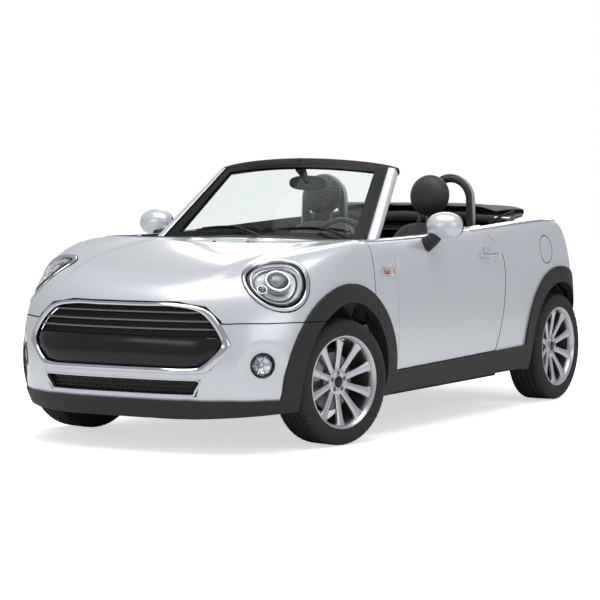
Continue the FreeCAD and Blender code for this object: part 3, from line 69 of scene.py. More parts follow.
# The body's skin in metres: one row of shares a ring, as the solids follow, with the x shares of nose,
# front, width, rear and tail, how square both ends are, and the heights from nose to tail
HALF_LENGTH, HALF_WIDTH, BELT = 1.9105, 0.850, 0.985
RINGS = (
    (0.972, 0.60, 0.955, -0.66, -0.960, 2.90, 3.2, 0.165, 0.215, 0.215, 0.215, 0.215),
    (0.993, 0.60, 0.985, -0.67, -0.985, 2.90, 3.1, 0.260, 0.280, 0.280, 0.280, 0.290),
    (1.006, 0.60, 1.000, -0.68, -1.0075, 2.90, 3.0, 0.400, 0.400, 0.400, 0.400, 0.410),
    (1.004, 0.60, 1.008, -0.68, -1.0075, 2.80, 3.0, 0.530, 0.530, 0.530, 0.530, 0.530),
    (0.990, 0.60, 1.006, -0.68, -1.000, 2.60, 3.0, 0.665, 0.680, 0.680, 0.690, 0.670),
    (0.965, 0.58, 0.995, -0.68, -0.990, 2.40, 2.9, 0.770, 0.830, 0.840, 0.850, 0.800),
    (0.905, 0.55, 0.975, -0.68, -0.965, 2.20, 2.8, 0.845, 0.950, 0.950, 0.970, 0.930),
    (0.780, 0.50, 0.945, -0.66, -0.950, 2.15, 2.8, 0.900, 1.005, 1.010, 1.060, 1.000),
    (0.640, 0.42, 0.870, -0.64, -0.900, 2.10, 2.8, 0.945, 1.012, 1.025, 1.085, 1.040),
    (0.480, 0.33, 0.790, -0.60, -0.800, 2.10, 2.8, 0.980, 1.015, 1.030, 1.090, 1.065),
    (0.300, 0.20, 0.740, -0.56, -0.700, 2.10, 2.8, 1.020, 1.020, 1.030, 1.090, 1.080),
)
FRONT_SHARE, REAR_SHARE, BARREL_SHARE, DEGREE = 0.30, 0.70, 0.004, 3
SKIN_COLUMNS, SKIN_ROWS = 1200, 170
WHEEL_SPOT = {"front_axle": 1.1405, "rear_axle": -1.3545, "track": 0.7505, "tyre": 0.3106,
              "kingpin": 0.6955, "reach": 0.055}
STEER = math.radians(-14)
LAMP_SPOT = ((1.5544, 0.6850, 0.8289), (0.5367, 0.5160, 0.6676))
FOG_SPOT = ((1.7126, 0.7072, 0.4260), (0.6579, 0.7528, -0.0206))
CUTTER_START = 0.25
MATERIALS, TREES, STEPS = {}, {}, []


def ring_weights(v):
    count = len(RINGS)
    spans = count - DEGREE
    t = v * spans
    knots = [0] * DEGREE + list(range(spans + 1)) + [spans] * DEGREE
    start = min(int(t), spans - 1) + DEGREE
    weights = [0.0] * (count + DEGREE)
    weights[start] = 1.0
    for step in range(1, DEGREE + 1):
        raised = [0.0] * (count + DEGREE)
        for j in range(start - step, start + 1):
            left, right = knots[j + step] - knots[j], knots[j + step + 1] - knots[j + 1]
            if left:
                raised[j] += (t - knots[j]) / left * weights[j]
            if right:
                raised[j] += (knots[j + step + 1] - t) / right * weights[j + 1]
        weights = raised
    return weights[:count]


def ring_places(ring, u):
    nose, front, width, rear, tail, nose_round, tail_round, z_nose, z_front, z_middle, z_rear, z_tail = ring
    way, reach = np.abs(u), width * HALF_WIDTH
    q = np.clip((way - FRONT_SHARE) / (REAR_SHARE - FRONT_SHARE), 0, 1)
    x = (front + (rear - front) * q) * HALF_LENGTH
    y = reach * (1 + BARREL_SHARE * np.sin(np.pi * q) ** 2)
    z = z_front + (z_rear - z_front) * q * q * (3 - 2 * q) + (2 * z_middle - z_front - z_rear) * q * (1 - q)
    for end, mask in (("nose", way < FRONT_SHARE), ("tail", way > REAR_SHARE)):
        share = way / FRONT_SHARE if end == "nose" else (1 - way) / (1 - REAR_SHARE)
        angle = np.clip(share, 0, 1) * np.pi / 2
        c, s = np.cos(angle), np.sin(angle)
        power = nose_round if end == "nose" else tail_round
        radius = (c ** power + s ** power) ** (-1 / power)
        if end == "nose":
            ex = front * HALF_LENGTH + (nose - front) * HALF_LENGTH * c * radius
            ez = z_nose + (z_front - z_nose) * s ** 2
        else:
            ex = rear * HALF_LENGTH - (rear - tail) * HALF_LENGTH * c * radius
            ez = z_tail + (z_rear - z_tail) * s ** 2
        x, y, z = np.where(mask, ex, x), np.where(mask, reach * s * radius, y), np.where(mask, ez, z)
    return np.stack([x, np.copysign(y, u), z * BELT], axis=-1)


class Skin:
    # The smooth skin as a dense grid that panels are drawn onto.
    def __init__(self):
        u = np.linspace(-1, 1, SKIN_COLUMNS)
        rings = np.array([ring_places(ring, u) for ring in RINGS])
        weights = np.array([ring_weights(v) for v in np.linspace(0, 1, SKIN_ROWS)])
        self.grid = np.einsum("vr,ruk->vuk", weights, rings)
        along = np.gradient(self.grid, axis=1)
        up = np.gradient(self.grid, axis=0)
        normal = np.cross(along, up)
        self.normals = normal / np.maximum(np.linalg.norm(normal, axis=-1, keepdims=True), 1e-12)
        points = [Vector(p) for p in self.grid.reshape(-1, 3)]
        faces = [(j * SKIN_COLUMNS + i, j * SKIN_COLUMNS + i + 1, (j + 1) * SKIN_COLUMNS + i + 1,
                  (j + 1) * SKIN_COLUMNS + i) for j in range(SKIN_ROWS - 1) for i in range(SKIN_COLUMNS - 1)]
        self.tree = BVHTree.FromPolygons(points, faces)

    def nearest(self, place):
        # The skin's place and smooth normal nearest to a point.
        spot, _, index, _ = self.tree.find_nearest(place)
        row, column = divmod(index, SKIN_COLUMNS - 1)
        corner = Vector(self.grid[row, column])
        side, rise = Vector(self.grid[row, column + 1]) - corner, Vector(self.grid[row + 1, column]) - corner
        offset = spot - corner
        a = min(max(offset.dot(side) / max(side.length_squared, 1e-12), 0), 1)
        b = min(max(offset.dot(rise) / max(rise.length_squared, 1e-12), 0), 1)
        n = self.normals
        normal = (Vector(n[row, column]) * (1 - a) + Vector(n[row, column + 1]) * a) * (1 - b)
        normal += (Vector(n[row + 1, column]) * (1 - a) + Vector(n[row + 1, column + 1]) * a) * b
        return spot, normal.normalized()


SKIN = Skin()


class Graph:
    # A node tree in the making: its inputs take numbers or other nodes' outputs.
    def __init__(self, tree):
        self.nodes, self.links = tree.nodes, tree.links

    def feed(self, node, inputs):
        for socket, value in inputs.items():
            if isinstance(value, bpy.types.NodeSocket):
                self.links.new(value, node.inputs[socket])
            else:
                node.inputs[socket].default_value = value

    def node(self, kind, inputs=None, operation=None):
        made = self.nodes.new(kind)
        if operation:
            made.operation = operation
        self.feed(made, inputs or {})
        return made

    def sum(self, operation, first, second):
        return self.node("ShaderNodeMath", {0: first, 1: second}, operation).outputs[0]


# Each pattern's output and its own settings, and the broad cloud that is laid over it
PATTERNS = {"noise": ("Fac", {"Detail": 4.0}), "voronoi": ("Distance", {}),
            "wave": ("Fac", {"Distortion": 2.0})}
CLOUD_SCALE, CLOUD_SHARE, PAINT_SHADE = 3.0, 0.35, 0.97


def finish(name, low, high, scale, rough, span, relief=0.0, depth=0.001, kind="noise", **values):
    # One material: two colours, a roughness with its span, a relief with its depth, and shader values.
    material = bpy.data.materials.new(name)
    material.use_nodes = True
    graph = Graph(material.node_tree)
    shader = graph.nodes["Principled BSDF"]
    place = graph.node("ShaderNodeTexCoord").outputs["Object"]
    output, extra = PATTERNS[kind]
    pattern = graph.node("ShaderNodeTex" + kind.title(), {"Vector": place, "Scale": scale, **extra})
    grain = pattern.outputs[output]
    cloud = graph.node("ShaderNodeTexNoise", {"Vector": place, "Scale": CLOUD_SCALE}).outputs["Fac"]
    blend = graph.node("ShaderNodeMath", {0: cloud, 1: CLOUD_SHARE, 2: grain}, "MULTIPLY_ADD").outputs[0]
    ramp = graph.node("ShaderNodeValToRGB", {"Fac": blend})
    for element, colour in zip(ramp.color_ramp.elements, (low, high)):
        element.color = (*colour, 1)
    gloss = graph.node("ShaderNodeMapRange", {"Value": blend, "To Min": rough, "To Max": rough + span})
    graph.feed(shader, {"Base Color": ramp.outputs["Color"], "Roughness": gloss.outputs["Result"]})
    if relief:
        bump = graph.node("ShaderNodeBump", {"Height": grain, "Strength": relief, "Distance": depth})
        graph.feed(shader, {"Normal": bump.outputs["Normal"]})
    graph.feed(shader, {socket.replace("_", " "): number for socket, number in values.items()})
    MATERIALS[name] = material


def make_finishes(settings):
    colour = tuple(settings.paint)
    shade = [c * PAINT_SHADE for c in colour]
    finish("silver_paint", shade, colour, 2600, 0.25, 0.10, 0.04, 0.0002, "voronoi", Metallic=0.40,
           Coat_Weight=1.0, Coat_Roughness=0.11)
    finish("dark_cladding", (0.012, 0.0125, 0.013), (0.022, 0.0225, 0.024), 1300, 0.48, 0.16, 0.35, 0.0004,
           Specular_IOR_Level=0.35)
    finish("gloss_black", (0.004, 0.004, 0.005), (0.008, 0.008, 0.009), 40, 0.12, 0.05, Coat_Weight=0.15,
           Coat_Roughness=0.05, Specular_IOR_Level=0.30)
    finish("chrome", (0.54, 0.55, 0.57), (0.64, 0.65, 0.67), 60, 0.05, 0.05, Metallic=1.0)
    finish("screen_band", (0.004, 0.005, 0.005), (0.008, 0.009, 0.009), 50, 0.20, 0.06,
           Specular_IOR_Level=0.12)
    finish("header_black", (0.007, 0.007, 0.008), (0.013, 0.013, 0.014), 1100, 0.45, 0.15, 0.3, 0.0004,
           Specular_IOR_Level=0.25)
    finish("satin_silver", (0.50, 0.51, 0.53), (0.62, 0.63, 0.65), 700, 0.25, 0.12, 0.05, 0.0003,
           Metallic=0.9)
    finish("wheel_lacquer", (0.50, 0.505, 0.515), (0.60, 0.605, 0.615), 900, 0.24, 0.08, 0.04, 0.0002,
           Metallic=0.85, Coat_Weight=0.7, Coat_Roughness=0.06)
    finish("lamp_silver", (0.40, 0.41, 0.42), (0.55, 0.56, 0.57), 500, 0.22, 0.12, 0.05, 0.0002,
           Metallic=0.85)
    finish("lamp_eye", (0.035, 0.040, 0.045), (0.075, 0.080, 0.085), 80, 0.05, 0.04, Coat_Weight=1.0)
    finish("clear_lens", (0.93, 0.95, 0.96), (0.97, 0.98, 0.99), 30, 0.0, 0.015,
           Transmission_Weight=1.0, IOR=1.25)
    finish("screen_glass", (0.80, 0.87, 0.85), (0.84, 0.90, 0.88), 12, 0.0, 0.01,
           Transmission_Weight=1.0, IOR=1.12)
    finish("red_lens", (0.30, 0.006, 0.008), (0.42, 0.012, 0.014), 60, 0.06, 0.05, Coat_Weight=1.0)
    finish("amber_lens", (0.34, 0.11, 0.02), (0.46, 0.17, 0.03), 300, 0.10, 0.05, Coat_Weight=0.8)
    finish("mirror_glass", (0.75, 0.77, 0.78), (0.82, 0.84, 0.85), 8, 0.01, 0.01, Metallic=1.0)
    finish("tyre_rubber", (0.008, 0.008, 0.009), (0.017, 0.017, 0.018), 420, 0.62, 0.20, 0.4, 0.0006)
    finish("cabin_plastic", (0.010, 0.010, 0.011), (0.020, 0.020, 0.022), 1800, 0.45, 0.15, 0.4, 0.0004,
           "voronoi")
    finish("black_leather", (0.010, 0.010, 0.011), (0.022, 0.022, 0.024), 520, 0.36, 0.18, 0.45, 0.0008,
           "voronoi", Sheen_Weight=0.1)
    finish("seat_cloth", (0.012, 0.012, 0.013), (0.030, 0.030, 0.034), 1500, 0.75, 0.15, 0.5, 0.0006, "wave",
           Sheen_Weight=0.35)
    finish("roof_fabric", (0.010, 0.010, 0.012), (0.026, 0.026, 0.030), 1400, 0.80, 0.12, 0.6, 0.0007, "wave",
           Sheen_Weight=0.4)
    finish("carpet", (0.010, 0.010, 0.011), (0.030, 0.030, 0.032), 1900, 0.9, 0.08, 0.8, 0.0015)
    finish("underbody", (0.018, 0.018, 0.019), (0.034, 0.034, 0.035), 90, 0.55, 0.25, 0.2, 0.001)
    finish("cast_metal", (0.20, 0.20, 0.21), (0.36, 0.36, 0.37), 160, 0.4, 0.2, 0.4, 0.001, Metallic=0.8)
    finish("disc_steel", (0.17, 0.17, 0.175), (0.27, 0.27, 0.275), 240, 0.28, 0.16, 0.2, 0.0003, "wave",
           Metallic=1.0)
    finish("grey_rail", (0.13, 0.13, 0.14), (0.18, 0.18, 0.19), 900, 0.35, 0.1, 0.1, 0.0003, Metallic=0.3)


# Mesh helpers
def mesh_object(name, mesh):
    thing = bpy.data.objects.new(name, mesh)
    bpy.context.scene.collection.objects.link(thing)
    return thing


def placed(name, mesh, body, replaces):
    # A finished mesh as a piece that rides a body and stands for CAD nodes.
    thing = mesh_object(name, mesh)
    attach(thing, body)
    if replaces:
        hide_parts(*replaces)
    return thing


class Piece:
    # Gathers shapes with their materials into one named piece.
    def __init__(self, name):
        self.name, self.bm, self.slots = name, bmesh.new(), []

    def slot(self, material):
        if material not in self.slots:
            self.slots.append(material)
        return self.slots.index(material)

    def add(self, shape, material, matrix=None, smooth=True):
        # A shape is a pair of points and faces.
        points, faces = shape
        index = self.slot(material)
        made = [self.bm.verts.new(matrix @ Vector(p) if matrix else Vector(p)) for p in points]
        for face in faces:
            corners = [made[i] for i in face]
            if len(set(corners)) > 2:
                f = self.bm.faces.new(corners)
                f.material_index, f.smooth = index, smooth

    def join(self, other_bm, material, matrix=None):
        index = self.slot(material)
        made = {v: self.bm.verts.new(matrix @ v.co if matrix else v.co) for v in other_bm.verts}
        for face in other_bm.faces:
            f = self.bm.faces.new([made[v] for v in face.verts])
            f.material_index, f.smooth = index, True
        other_bm.free()

    def done(self, body, replaces=(), angle=40, weld=0):
        if weld:
            bmesh.ops.remove_doubles(self.bm, verts=self.bm.verts, dist=weld)
        bmesh.ops.recalc_face_normals(self.bm, faces=self.bm.faces)
        mesh = bpy.data.meshes.new(self.name)
        self.bm.to_mesh(mesh)
        self.bm.free()
        for material in self.slots:
            mesh.materials.append(MATERIALS[material])
        mesh.set_sharp_from_angle(angle=math.radians(angle))
        return placed(self.name, mesh, body, replaces)


def turns(count):
    # The angles of so many even steps round a circle.
    return [math.tau * k / count for k in range(count)]


def wrapped(count, width):
    # Faces between rows of points that go once round.
    return [(i * width + j, i * width + j + 1, (i + 1) % count * width + j + 1, (i + 1) % count * width + j)
            for i in range(count) for j in range(width - 1)]


def turned(profile, count):
    # A profile of (place along Y, radius) points turned about the Y axis.
    points = [(r * math.sin(t), y, r * math.cos(t)) for t in turns(count) for y, r in profile]
    return points, wrapped(count, len(profile))


def bowl(profile, count, wide=1.0, tall=1.0):
    # A profile of (radius, height) points turned about the third axis, with oval shares.
    points = [(r * math.cos(t) * wide, r * math.sin(t) * tall, h) for t in turns(count) for r, h in profile]
    return points, wrapped(count, len(profile))


def boxed(value, power):
    # A sine or cosine raised to a power with its sign kept, which draws a ring towards a box.
    return math.copysign(abs(value) ** power, value)


def lofted(rings, closed=True, caps=True):
    # Faces between rings of equal point counts, each closed or open, with end caps on closed ones.
    width = len(rings[0])
    points = [p for ring in rings for p in ring]
    steps = [(j, (j + 1) % width) for j in range(width if closed else width - 1)]
    faces = [(i * width + j, i * width + k, (i + 1) * width + k, (i + 1) * width + j)
             for i in range(len(rings) - 1) for j, k in steps]
    if caps and closed:
        faces += [tuple(range(width)), tuple(range(len(points) - width, len(points)))]
    return points, faces


def swept(path, radius, sides=10):
    # A round tube along a path of points, of one radius or of one for each point.
    path = [Vector(p) for p in path]
    radii = radius if isinstance(radius, list) else [radius] * len(path)
    rings, lean = [], None
    for i, place in enumerate(path):
        way = (path[min(i + 1, len(path) - 1)] - path[max(i - 1, 0)]).normalized()
        lean = lean - way * lean.dot(way) if lean else way.orthogonal()
        lean.normalize()
        other = way.cross(lean)
        rings.append([place + (lean * math.cos(t) + other * math.sin(t)) * radii[i] for t in turns(sides)])
    return lofted(rings)


def eased_box(low, high, radius, segments=2):
    # A box with rounded edges as a bmesh.
    bm = bmesh.new()
    bmesh.ops.create_cube(bm, size=1.0)
    low, high = Vector(low), Vector(high)
    for v in bm.verts:
        v.co = Vector([(low[k] + high[k]) / 2 + v.co[k] * (high[k] - low[k]) for k in range(3)])
    bmesh.ops.bevel(bm, geom=bm.edges[:], offset=radius, segments=segments, affect="EDGES", profile=0.5)
    return bm


def smooth_curve(points, count, closed=False):
    # Catmull-Rom points through a few given ones.
    points = [Vector(p) for p in points]
    last = len(points) - 1
    spans = last + 1 if closed else last

    def pick(n):
        return points[n % len(points)] if closed else points[min(max(n, 0), last)]

    out = []
    for k in range(count + (0 if closed else 1)):
        t = spans * k / count
        i = min(int(t), spans - 1)
        f = t - i
        a, b, c, d = (pick(i + n) for n in (-1, 0, 1, 2))
        out.append(((b * 2) + (c - a) * f + (a * 2 - b * 5 + c * 4 - d) * f * f
                    + (b * 3 - a - c * 3 + d) * f ** 3) * 0.5)
    return out


# The arch cladding's edges as (middle, radius), outer and inner, at the front and at the rear
ARCHES = ((1.1405, 0.480), (1.1405, 0.388), (-1.3545, 0.469), (-1.3545, 0.377))
ARCH_SIDES, ARCH_HEIGHT, EDGE_SLACK = 28, 0.3106, 0.0004
# How panels are read: welding, how alike a face and the skin point, how near they lie, and face sizes
PANEL_WELD, FACING, LEVEL, PANEL_REACH = 2e-5, 0.6, 0.95, 0.030
PLAIN_FACE, SHAPED_FACE, SPLITS = 0.028, 0.016, 6


def round_arches(bm, outers):
    # The flat-sided wheel-arch edges of a panel, brought out to true arcs.
    for v in bm.verts:
        if all(f in outers for f in v.link_faces):
            continue
        for middle, radius in ARCHES:
            way = Vector((v.co.x - middle, v.co.z - ARCH_HEIGHT))
            if radius * math.cos(math.pi / ARCH_SIDES) - EDGE_SLACK <= way.length <= radius + EDGE_SLACK:
                way *= radius / way.length
                v.co.x, v.co.z = middle + way.x, ARCH_HEIGHT + way.y


def whole_skin(outers):
    # The outer faces with those that carry on level from them.
    edge = set(outers)
    while edge:
        edge = {g for f in edge for e in f.edges for g in e.link_faces
                if g not in outers and g.normal.dot(f.normal) > LEVEL}
        outers |= edge
    return outers


def skin_panel(node, name, body, outer, inner, stand=0.0, fine=PLAIN_FACE, lower=None, relief=None,
               above=None):
    # The CAD panel's own outline drawn onto the smooth skin, with the skin's true normals.
    bm = bmesh.new()
    bm.from_mesh(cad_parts[node].data)
    bmesh.ops.remove_doubles(bm, verts=bm.verts, dist=PANEL_WELD)
    if above:
        bmesh.ops.delete(bm, geom=[v for v in bm.verts if v.co.z < above], context="VERTS")
    if lower:
        geom = bm.verts[:] + bm.edges[:] + bm.faces[:]
        bmesh.ops.bisect_plane(bm, geom=geom, plane_co=(0, 0, lower[0]), plane_no=(0, 0, 1))
        bmesh.ops.triangulate(bm, faces=bm.faces[:])

    def is_outer(face):
        place = face.calc_center_median()
        spot, normal = SKIN.nearest(place)
        return face.normal.dot(normal) > FACING and abs((place - spot).dot(normal) - stand) < PANEL_REACH

    bm.normal_update()
    for _ in range(SPLITS):
        outers = {e for f in bm.faces if is_outer(f) for e in f.edges}
        long_edges = [e for e in outers if e.calc_length() > fine]
        if not long_edges:
            break
        bmesh.ops.subdivide_edges(bm, edges=long_edges, cuts=1)
        bmesh.ops.triangulate(bm, faces=[f for f in bm.faces if len(f.verts) > 3])
        bm.normal_update()
    round_arches(bm, {f for f in bm.faces if is_outer(f)})
    bm.normal_update()
    bm.faces.index_update()
    outer_faces = {f.index for f in whole_skin({f for f in bm.faces if is_outer(f)})}
    normals = {}
    for v in {v for f in bm.faces if f.index in outer_faces for v in f.verts}:
        spot, normal = SKIN.nearest(v.co)
        rise, slope = relief(spot) if relief else (0.0, Vector())
        v.co = spot + SKIN.nearest(spot)[1] * (stand + rise)
        normals[v] = (normal - slope).normalized()
    loops = []
    bm.normal_update()
    for face in bm.faces:
        is_skin = face.index in outer_faces
        face.material_index = 0 if is_skin else 1
        if lower and is_skin and face.calc_center_median().z < lower[0]:
            face.material_index = 2
        face.smooth = True
        loops += [normals[v][:] if is_skin else face.normal[:] for v in face.verts]
    mesh = bpy.data.meshes.new(name)
    bm.to_mesh(mesh)
    bm.free()
    for material in [outer, inner] + ([lower[1]] if lower else []):
        mesh.materials.append(MATERIALS[material])
    mesh.normals_split_custom_set(loops)
    return placed(name, mesh, body, [node])


# Geometry Nodes trees: copies in a ring, and a lattice of cells whose rows stand closer than its columns
ROW_SHARE = 0.866


def new_tree(name, inputs):
    tree = bpy.data.node_groups.new(name, "GeometryNodeTree")
    tree.interface.new_socket("Geometry", in_out="INPUT", socket_type="NodeSocketGeometry")
    tree.interface.new_socket("Geometry", in_out="OUTPUT", socket_type="NodeSocketGeometry")
    for label, kind, value in inputs:
        socket = tree.interface.new_socket(label, in_out="INPUT", socket_type=kind)
        if value is not None:
            socket.default_value = value
    return tree


def set_copies(graph, start, points, rotation=None):
    # Copies of the piece itself on points, made real in one material.
    inputs = {"Points": points, "Instance": start["Geometry"]}
    if rotation:
        inputs["Rotation"] = rotation
    copies = graph.node("GeometryNodeInstanceOnPoints", inputs).outputs["Instances"]
    solid = graph.node("GeometryNodeRealizeInstances", {"Geometry": copies}).outputs["Geometry"]
    coated = graph.node("GeometryNodeSetMaterial", {"Geometry": solid, "Material": start["Material"]})
    graph.node("NodeGroupOutput", {"Geometry": coated.outputs["Geometry"]})


def point_line(graph, count):
    # As many points as there are copies, all in one place.
    return graph.node("GeometryNodeMeshLine", {"Offset": (0, 0, 0), "Count": count}).outputs["Mesh"]


def ring_tree():
    # Copies of the piece itself set round the Y axis.
    tree = new_tree("copies_round_the_axle", (("Count", "NodeSocketInt", 5),
                                              ("Material", "NodeSocketMaterial", None)))
    graph = Graph(tree)
    start = graph.node("NodeGroupInput").outputs
    index = graph.node("GeometryNodeInputIndex").outputs[0]
    angle = graph.sum("MULTIPLY", graph.sum("DIVIDE", index, start["Count"]), math.tau)
    turn = graph.node("ShaderNodeCombineXYZ", {"Y": angle}).outputs[0]
    set_copies(graph, start, point_line(graph, start["Count"]), turn)
    return tree


def lattice_tree():
    # Copies of the piece itself in staggered rows across the XY plane.
    tree = new_tree("staggered_lattice", (("Columns", "NodeSocketInt", 10), ("Rows", "NodeSocketInt", 5),
                                          ("Pitch", "NodeSocketFloat", 0.02),
                                          ("Material", "NodeSocketMaterial", None)))
    graph = Graph(tree)
    start = graph.node("NodeGroupInput").outputs
    columns, pitch = start["Columns"], start["Pitch"]
    index = graph.node("GeometryNodeInputIndex").outputs[0]
    row = graph.sum("FLOOR", graph.sum("DIVIDE", index, columns), 0.0)
    stagger = graph.sum("MULTIPLY", graph.sum("MODULO", row, 2.0), 0.5)
    x = graph.sum("MULTIPLY", graph.sum("ADD", graph.sum("MODULO", index, columns), stagger), pitch)
    y = graph.sum("MULTIPLY", graph.sum("MULTIPLY", row, ROW_SHARE), pitch)
    offset = graph.node("ShaderNodeCombineXYZ", {"X": x, "Y": y}).outputs[0]
    points = point_line(graph, graph.sum("MULTIPLY", columns, start["Rows"]))
    moved = graph.node("GeometryNodeSetPosition", {"Geometry": points, "Offset": offset}).outputs["Geometry"]
    set_copies(graph, start, moved)
    return tree


def grown(shape, maker, values):
    # The plain mesh that a tree makes from one small shape, as a bmesh.
    if maker not in TREES:
        TREES[maker] = maker()
    tree = TREES[maker]
    points, faces = shape
    mesh = bpy.data.meshes.new("seed_shape")
    mesh.from_pydata([tuple(p) for p in points], [], faces)
    seed = mesh_object("seed_shape", mesh)
    modifier = seed.modifiers.new("copies", "NODES")
    modifier.node_group = tree
    for item in tree.interface.items_tree:
        if item.in_out == "INPUT" and item.name in values:
            modifier[item.identifier] = values[item.name]
    graph = bpy.context.evaluated_depsgraph_get()
    result = bpy.data.meshes.new_from_object(seed.evaluated_get(graph))
    bpy.data.objects.remove(seed)
    bm = bmesh.new()
    bm.from_mesh(result)
    bpy.data.meshes.remove(result)
    return bm


def wheel_places():
    # Each wheel's name, body and matrix: the axle along Y with the outer face ahead.
    for end, side, name in ((1, 1, "front_left"), (1, -1, "front_right"), (-1, 1, "rear_left"),
                            (-1, -1, "rear_right")):
        turn, way = Matrix.Identity(4), Vector((0, 0, 0))
        if end > 0:
            turn = Matrix.Rotation(STEER, 4, "Z")
            way = turn @ Vector((0, side * WHEEL_SPOT["reach"], 0))
        x, y = (WHEEL_SPOT["front_axle"], WHEEL_SPOT["kingpin"]) if end > 0 else (
            WHEEL_SPOT["rear_axle"], WHEEL_SPOT["track"])
        flip = Matrix.Identity(4) if side > 0 else Matrix.Rotation(math.pi, 4, "Z")
        place = Vector((x, side * y, WHEEL_SPOT["tyre"])) + way
        yield name, name + "_wheel", Matrix.Translation(place) @ turn @ flip


def copied(piece, shape, count, material, matrix):
    values = {"Count": count, "Material": MATERIALS[material]}
    piece.join(grown(shape, ring_tree, values), material, matrix)


def wheel_spoke():
    # A waisted spoke from the hub to the barrel: (radius, half width, face, depth) rows.
    rows = ((0.050, 0.0175, 0.046, 0.016), (0.075, 0.0165, 0.050, 0.017), (0.105, 0.0170, 0.056, 0.018),
            (0.140, 0.0185, 0.062, 0.019), (0.172, 0.0210, 0.068, 0.021), (0.196, 0.0255, 0.074, 0.026),
            (0.212, 0.0320, 0.079, 0.036))
    section = [(boxed(math.cos(t), 0.6), boxed(math.sin(t), 0.8)) for t in turns(12)]
    return lofted([[(half * c, face - depth / 2 + depth / 2 * s, r) for c, s in section]
                   for r, half, face, depth in rows])


# The rim's turned parts, as (place along the axle, radius) points, with dark sheets of painted shade in the
# barrel and the bolt pockets
BARREL = ((0.090, 0.2285), (0.0945, 0.2300), (0.0965, 0.2275), (0.0960, 0.2235), (0.0925, 0.2205),
          (0.088, 0.2165), (0.080, 0.2120), (0.066, 0.2085), (0.040, 0.2060), (0.0, 0.2040), (-0.05, 0.2050),
          (-0.085, 0.2120), (-0.094, 0.2200), (-0.0965, 0.2280), (-0.090, 0.2285), (-0.080, 0.2200),
          (-0.045, 0.2120), (0.0, 0.2110), (0.050, 0.2125), (0.080, 0.2190), (0.090, 0.2285))
# A dark sheet just inside the barrel: painted shade over the barrel's inner face, seen through the spokes
BARREL_SHADE_SHEET = ((0.060, 0.2078), (0.040, 0.2052), (0.0, 0.2032), (-0.05, 0.2042), (-0.088, 0.2118), (-0.087, 0.2126),
         (-0.05, 0.2054), (0.0, 0.2044), (0.040, 0.2064), (0.060, 0.2088), (0.060, 0.2078))
HUB = ((0.014, 0.0), (0.014, 0.056), (0.030, 0.060), (0.044, 0.066), (0.0505, 0.064), (0.0525, 0.058),
       (0.0525, 0.034), (0.051, 0.031), (0.047, 0.030), (0.046, 0.0))
CAP = ((0.044, 0.0285), (0.0545, 0.0285), (0.0575, 0.0260), (0.0588, 0.0200), (0.0592, 0.010), (0.0592, 0.0))
CAP_RING = ((0.046, 0.031), (0.054, 0.031), (0.0555, 0.0295), (0.0545, 0.0283), (0.046, 0.0283))
POCKET = ((0.0495, 0.0130), (0.0530, 0.0130), (0.0540, 0.0118), (0.0530, 0.0106), (0.0495, 0.0106))
# A gloss-black disc over the hub face in each bolt pocket: painted shade for the hole round the bolt
POCKET_SHADE_DISC = ((0.0528, 0.0), (0.0529, 0.0107))
BOLT = ((0.040, 0.0085), (0.0505, 0.0085), (0.0535, 0.0070), (0.0540, 0.0))
DISC = ((-0.004, 0.075), (0.002, 0.075), (0.002, 0.142), (-0.002, 0.145), (-0.006, 0.145), (-0.010, 0.142),
        (-0.010, 0.075), (-0.004, 0.075))
BELL = ((0.030, 0.0), (0.030, 0.070), (0.026, 0.0755), (0.002, 0.0775), (-0.004, 0.075))
VALVE, VALVE_RADIUS = ((0.0, 0.080, 0.204), (0.0, 0.098, 0.190)), 0.0035
BOLTS, BOLT_CIRCLE = 5, 0.0435
# The tyre's sidewall up to its tread, its grooves, and the sipes on its shoulders, drawn as gloss-black
# strips that are painted shade for their slits
SIDEWALL = ((0.0880, 0.2255), (0.0950, 0.2290), (0.0990, 0.2340), (0.1010, 0.2420), (0.1022, 0.2560),
            (0.1020, 0.2700), (0.1004, 0.2810), (0.0990, 0.2830), (0.0985, 0.2862), (0.0965, 0.2890),
            (0.0935, 0.2955), (0.0890, 0.3020), (0.0830, 0.3062), (0.0745, 0.3085))
FURROWS = (0.052, 0.018)
SIPE = ((0.0700, 0.3100), (0.0800, 0.3085), (0.0900, 0.3028), (0.0955, 0.2940))
SIPES, SIPE_LEAN = 64, 0.35


def make_wheels(settings):
    for name, body, matrix in wheel_places():
        piece = Piece("alloy_" + name)
        # The barrel's dark underbody sheet is painted shade inside the rim
        for profile, sides, material in ((BARREL, 96, "wheel_lacquer"), (BARREL_SHADE_SHEET, 72, "underbody"),
                                         (HUB, 60, "wheel_lacquer"), (CAP, 40, "gloss_black"),
                                         (CAP_RING, 40, "satin_silver")):
            piece.add(turned(profile, sides), material, matrix)
        copied(piece, wheel_spoke(), settings.spokes, "wheel_lacquer", matrix)
        # The gloss-black pocket discs are painted shade for the bolt holes
        for profile, sides, material in ((POCKET, 16, "wheel_lacquer"), (POCKET_SHADE_DISC, 16, "gloss_black"),
                                         (BOLT, 6, "disc_steel")):
            points, faces = turned(profile, sides)
            points = [(x, y, z + BOLT_CIRCLE) for x, y, z in points]
            copied(piece, (points, faces), BOLTS, material, matrix)
        piece.add(turned(DISC, 72), "disc_steel", matrix)
        piece.add(turned(BELL, 48), "cast_metal", matrix)
        piece.add(swept([matrix @ Vector(p) for p in VALVE], VALVE_RADIUS, 8), "gloss_black")
        piece.done(body, ["rim_" + name])
        make_tyre(name, body, matrix, settings.tread_depth)


